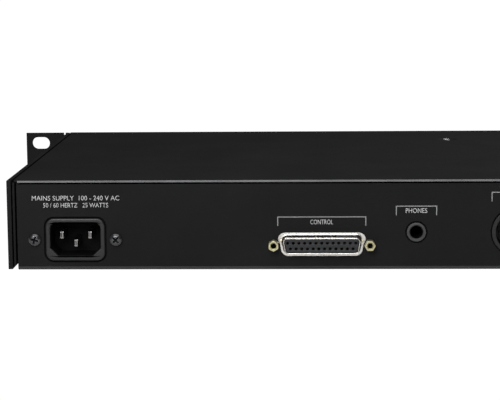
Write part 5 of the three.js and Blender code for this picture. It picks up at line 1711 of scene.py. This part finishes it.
def make_floor():
    """A plain pale floor, which is as white as the background to the eye."""
    settings = bpy.context.scene.rack_unit.stage
    reach = settings.floor_reach
    mesh = bpy.data.meshes.new("floor")
    corners = [(-reach, -reach), (reach, -reach), (reach, reach), (-reach, reach)]
    mesh.from_pydata([(x, y, -0.0002) for x, y in corners], [], [(0, 1, 2, 3)])
    floor = put_in_scene("floor", mesh)
    paper = bpy.data.materials.new("floor_paper")
    paper.use_nodes = True
    base = paper.node_tree.nodes["Principled BSDF"]
    base.inputs["Base Color"].default_value = (0.92, 0.92, 0.92, 1)
    base.inputs["Roughness"].default_value = 0.9
    base.inputs["Specular IOR Level"].default_value = 0.1
    nodes = Nodes(paper.node_tree)
    lit = nodes.add("ShaderNodeEmission", {"Color": (1, 1, 1, 1), "Strength": 1.05})
    direct = nodes.add("ShaderNodeLightPath").outputs["Is Camera Ray"]
    mixed = nodes.add("ShaderNodeMixShader", {0: direct, 1: base.outputs[0], 2: lit.outputs[0]})
    paper.node_tree.links.new(mixed.outputs[0], paper.node_tree.nodes["Material Output"].inputs["Surface"])
    mesh.materials.append(paper)


def make_camera():
    """A long lens behind the mains end, a little above the unit and turned slightly."""
    settings = bpy.context.scene.rack_unit.stage
    camera = bpy.data.cameras.new("camera")
    camera.lens = settings.lens
    camera.sensor_width = 36
    camera.clip_start, camera.clip_end = 0.01, 50
    camera_object = put_in_scene("camera", camera)
    heading, down = settings.heading, settings.look_down
    ahead = Vector((math.sin(heading) * math.cos(down), math.cos(heading) * math.cos(down), -math.sin(down)))
    level = ahead.cross(Vector((0, 0, 1))).normalized()
    up = level.cross(ahead)
    roll = Matrix.Rotation(settings.roll, 3, ahead)
    level, up = roll @ level, roll @ up
    aim = metres(INLET.x - settings.aim_across / MM, REAR, settings.aim_height / MM)
    place = Vector(aim) - ahead * settings.distance
    turn = Matrix((level, up, -ahead)).transposed()
    camera_object.matrix_world = Matrix.Translation(place) @ turn.to_4x4()
    bpy.context.scene.camera = camera_object


def make_lights():
    settings = bpy.context.scene.rack_unit.stage
    area_light("overhead", (0.1, 0.5, 1.3), (0, 0.1, 0), (1.6, 0.9), settings.overhead)
    area_light("behind_camera", (0.4, 1.7, 0.9), (0, 0.1, 0.02), (1.2, 0.8), settings.key)
    area_light("front_side", (-0.5, -1.0, 1.5), (0, -0.1, 0.02), (1.0, 0.6), settings.front)
    bpy.context.scene.view_settings.view_transform = "Standard"


# ---------------------------------------------------------------- settings


def colour_property(title, description, default):
    return FloatVectorProperty(name=title, description=description, subtype="COLOR", default=default, min=0,
                               max=1)


class RackUnitColours(bpy.types.PropertyGroup):
    """Base colours of the finishes"""

    enamel: colour_property("Enamel", "Paint of the case", (0.0115, 0.0115, 0.012))
    # The cover edge's grey is partly bare metal and partly a painted highlight.
    cut_edge: colour_property("Cut edge", "Sheared rear edge of the cover", (0.16, 0.16, 0.165))
    inlet: colour_property("Inlet", "Moulding of the mains inlet", (0.01, 0.01, 0.0105))
    jack_ring: colour_property("Jack ring", "Moulding of the headphone jack", (0.04, 0.04, 0.043))
    tin: colour_property("Tin", "Plating of the control connector", (0.82, 0.79, 0.75))
    zinc: colour_property("Zinc", "Passivated zinc of the jackscrews", (0.62, 0.58, 0.36))
    insulator: colour_property("Insulator", "Moulding that holds the contacts", (0.009, 0.01, 0.012))
    ink: colour_property("Ink", "Printed words", (0.58, 0.58, 0.58))
    line_ink: colour_property("Line ink", "Printed lines", (0.27, 0.27, 0.275))


class RackUnitStage(bpy.types.PropertyGroup):
    """Camera, light and floor"""

    lens: FloatProperty(name="Lens", description="Focal length in millimetres", default=135.0)
    distance: FloatProperty(name="Distance", description="Camera to rear panel", default=0.9149,
                            unit="LENGTH")
    heading: FloatProperty(name="Heading", description="Camera's heading from +Y", unit="ROTATION",
                           default=math.radians(177.492))
    look_down: FloatProperty(name="Look down", description="Camera's tilt below level", unit="ROTATION",
                             default=math.radians(8.283))
    roll: FloatProperty(name="Roll", description="Camera's turn about its line of sight", unit="ROTATION",
                        default=math.radians(0.524))
    aim_across: FloatProperty(name="Aim across", description="Aim point's distance from the inlet",
                              unit="LENGTH",
                              default=0.08607)
    aim_height: FloatProperty(name="Aim height", description="Aim point above the floor", unit="LENGTH",
                              default=0.03462)
    floor_reach: FloatProperty(name="Floor", description="Half the side of the floor", default=6.0,
                               unit="LENGTH")
    overhead: FloatProperty(name="Overhead", description="Power of the light above", default=8.5)
    key: FloatProperty(name="Key", description="Power of the light behind the camera", default=27.5)
    front: FloatProperty(name="Front", description="Power of the light on the fascia's side", default=8.0)
    fill: colour_property("Fill", "Light from all round", (0.05, 0.05, 0.05))


class RackUnitSettings(bpy.types.PropertyGroup):
    """All settings of the rack unit"""

    colours: PointerProperty(type=RackUnitColours)
    stage: PointerProperty(type=RackUnitStage)


# ---------------------------------------------------------------- operators


class RACKUNIT_OT_stage(bpy.types.Operator):
    """Sets up the world, the floor, the lights and the camera"""

    bl_idname = "rackunit.stage"
    bl_label = "Stage"

    def execute(self, context):
        white_world()
        make_floor()
        make_lights()
        make_camera()
        return {"FINISHED"}


class RACKUNIT_OT_casing(bpy.types.Operator):
    """Makes the tray, the cover, the side plates and their screws"""

    bl_idname = "rackunit.casing"
    bl_label = "Casing"

    def execute(self, context):
        make_tray()
        make_cover()
        make_side_plates()
        make_cover_screw()
        make_side_screws()
        return {"FINISHED"}


class RACKUNIT_OT_mains_inlet(bpy.types.Operator):
    """Makes the mains inlet, its blades and its screws"""

    bl_idname = "rackunit.mains_inlet"
    bl_label = "Mains Inlet"

    def execute(self, context):
        make_inlet()
        return {"FINISHED"}


class RACKUNIT_OT_remote_connector(bpy.types.Operator):
    """Makes the many-way control connector, its contacts and its jackscrews"""

    bl_idname = "rackunit.remote_connector"
    bl_label = "Control Connector"

    def execute(self, context):
        make_remote_connector()
        return {"FINISHED"}


class RACKUNIT_OT_audio_connectors(bpy.types.Operator):
    """Makes the headphone jack, the outputs, the inputs and their latches"""

    bl_idname = "rackunit.audio_connectors"
    bl_label = "Audio Connectors"

    def execute(self, context):
        make_monitor_jack()
        make_outputs()
        make_inputs()
        return {"FINISHED"}


class RACKUNIT_OT_data_sockets(bpy.types.Operator):
    """Makes the two round control-data sockets"""

    bl_idname = "rackunit.data_sockets"
    bl_label = "Data Sockets"

    def execute(self, context):
        make_data_sockets()
        return {"FINISHED"}


class RACKUNIT_OT_rear_legends(bpy.types.Operator):
    """Prints the words and lines on the rear panel"""

    bl_idname = "rackunit.rear_legends"
    bl_label = "Rear Legends"

    def execute(self, context):
        make_rear_legends()
        return {"FINISHED"}


class RACKUNIT_OT_fascia(bpy.types.Operator):
    """Makes the fascia and its windows"""

    bl_idname = "rackunit.fascia"
    bl_label = "Fascia"

    def execute(self, context):
        make_fascia()
        make_glazing()
        return {"FINISHED"}


class RACKUNIT_OT_knobs(bpy.types.Operator):
    """Makes the two level knobs and the data wheel, with their shafts and pots"""

    bl_idname = "rackunit.knobs"
    bl_label = "Knobs"

    def execute(self, context):
        make_knobs()
        return {"FINISHED"}


class RACKUNIT_OT_buttons(bpy.types.Operator):
    """Makes the six push-buttons and the lamps beside them"""

    bl_idname = "rackunit.buttons"
    bl_label = "Push-buttons"

    def execute(self, context):
        make_buttons()
        return {"FINISHED"}


class RACKUNIT_OT_power_switch(bpy.types.Operator):
    """Makes the power switch and its rocker"""

    bl_idname = "rackunit.power_switch"
    bl_label = "Power Switch"

    def execute(self, context):
        make_power_switch()
        return {"FINISHED"}


class RACKUNIT_OT_front_legends(bpy.types.Operator):
    """Prints the words, numbers and ticks on the fascia"""

    bl_idname = "rackunit.front_legends"
    bl_label = "Front Legends"

    def execute(self, context):
        make_front_legends()
        return {"FINISHED"}


class RACKUNIT_OT_boards(bpy.types.Operator):
    """Makes the circuit boards, their parts and the ribbon cable"""

    bl_idname = "rackunit.boards"
    bl_label = "Boards"

    def execute(self, context):
        make_boards()
        make_processor()
        make_ribbon()
        return {"FINISHED"}


class RACKUNIT_OT_power_supply(bpy.types.Operator):
    """Makes the transformer, the capacitor, the heat sink and the mains wires"""

    bl_idname = "rackunit.power_supply"
    bl_label = "Power Supply"

    def execute(self, context):
        make_power_parts()
        return {"FINISHED"}


OPERATORS = (
    RACKUNIT_OT_stage,
    RACKUNIT_OT_casing,
    RACKUNIT_OT_mains_inlet,
    RACKUNIT_OT_remote_connector,
    RACKUNIT_OT_audio_connectors,
    RACKUNIT_OT_data_sockets,
    RACKUNIT_OT_rear_legends,
    RACKUNIT_OT_fascia,
    RACKUNIT_OT_knobs,
    RACKUNIT_OT_buttons,
    RACKUNIT_OT_power_switch,
    RACKUNIT_OT_front_legends,
    RACKUNIT_OT_boards,
    RACKUNIT_OT_power_supply,
)


class RACKUNIT_PT_panel(bpy.types.Panel):
    """Lists the rack unit's settings and steps"""

    bl_label = "Rack Unit"
    bl_idname = "RACKUNIT_PT_panel"
    bl_space_type = "VIEW_3D"
    bl_region_type = "UI"
    bl_category = "Rack Unit"

    def draw(self, context):
        settings = context.scene.rack_unit
        for group in (settings.colours, settings.stage):
            box = self.layout.box()
            for name in group.__annotations__:
                box.prop(group, name)
        for operator in OPERATORS:
            self.layout.operator(operator.bl_idname)


CLASSES = (RackUnitColours, RackUnitStage, RackUnitSettings, *OPERATORS, RACKUNIT_PT_panel)


def register():
    for item in CLASSES:
        bpy.utils.register_class(item)
    bpy.types.Scene.rack_unit = PointerProperty(type=RackUnitSettings)


def unregister():
    del bpy.types.Scene.rack_unit
    for item in reversed(CLASSES):
        bpy.utils.unregister_class(item)


def main():
    """Builds every piece in order."""
    register()
    for operator in OPERATORS:
        group, name = operator.bl_idname.split(".")
        getattr(getattr(bpy.ops, group), name)()


if __name__ == "__main__":
    main()
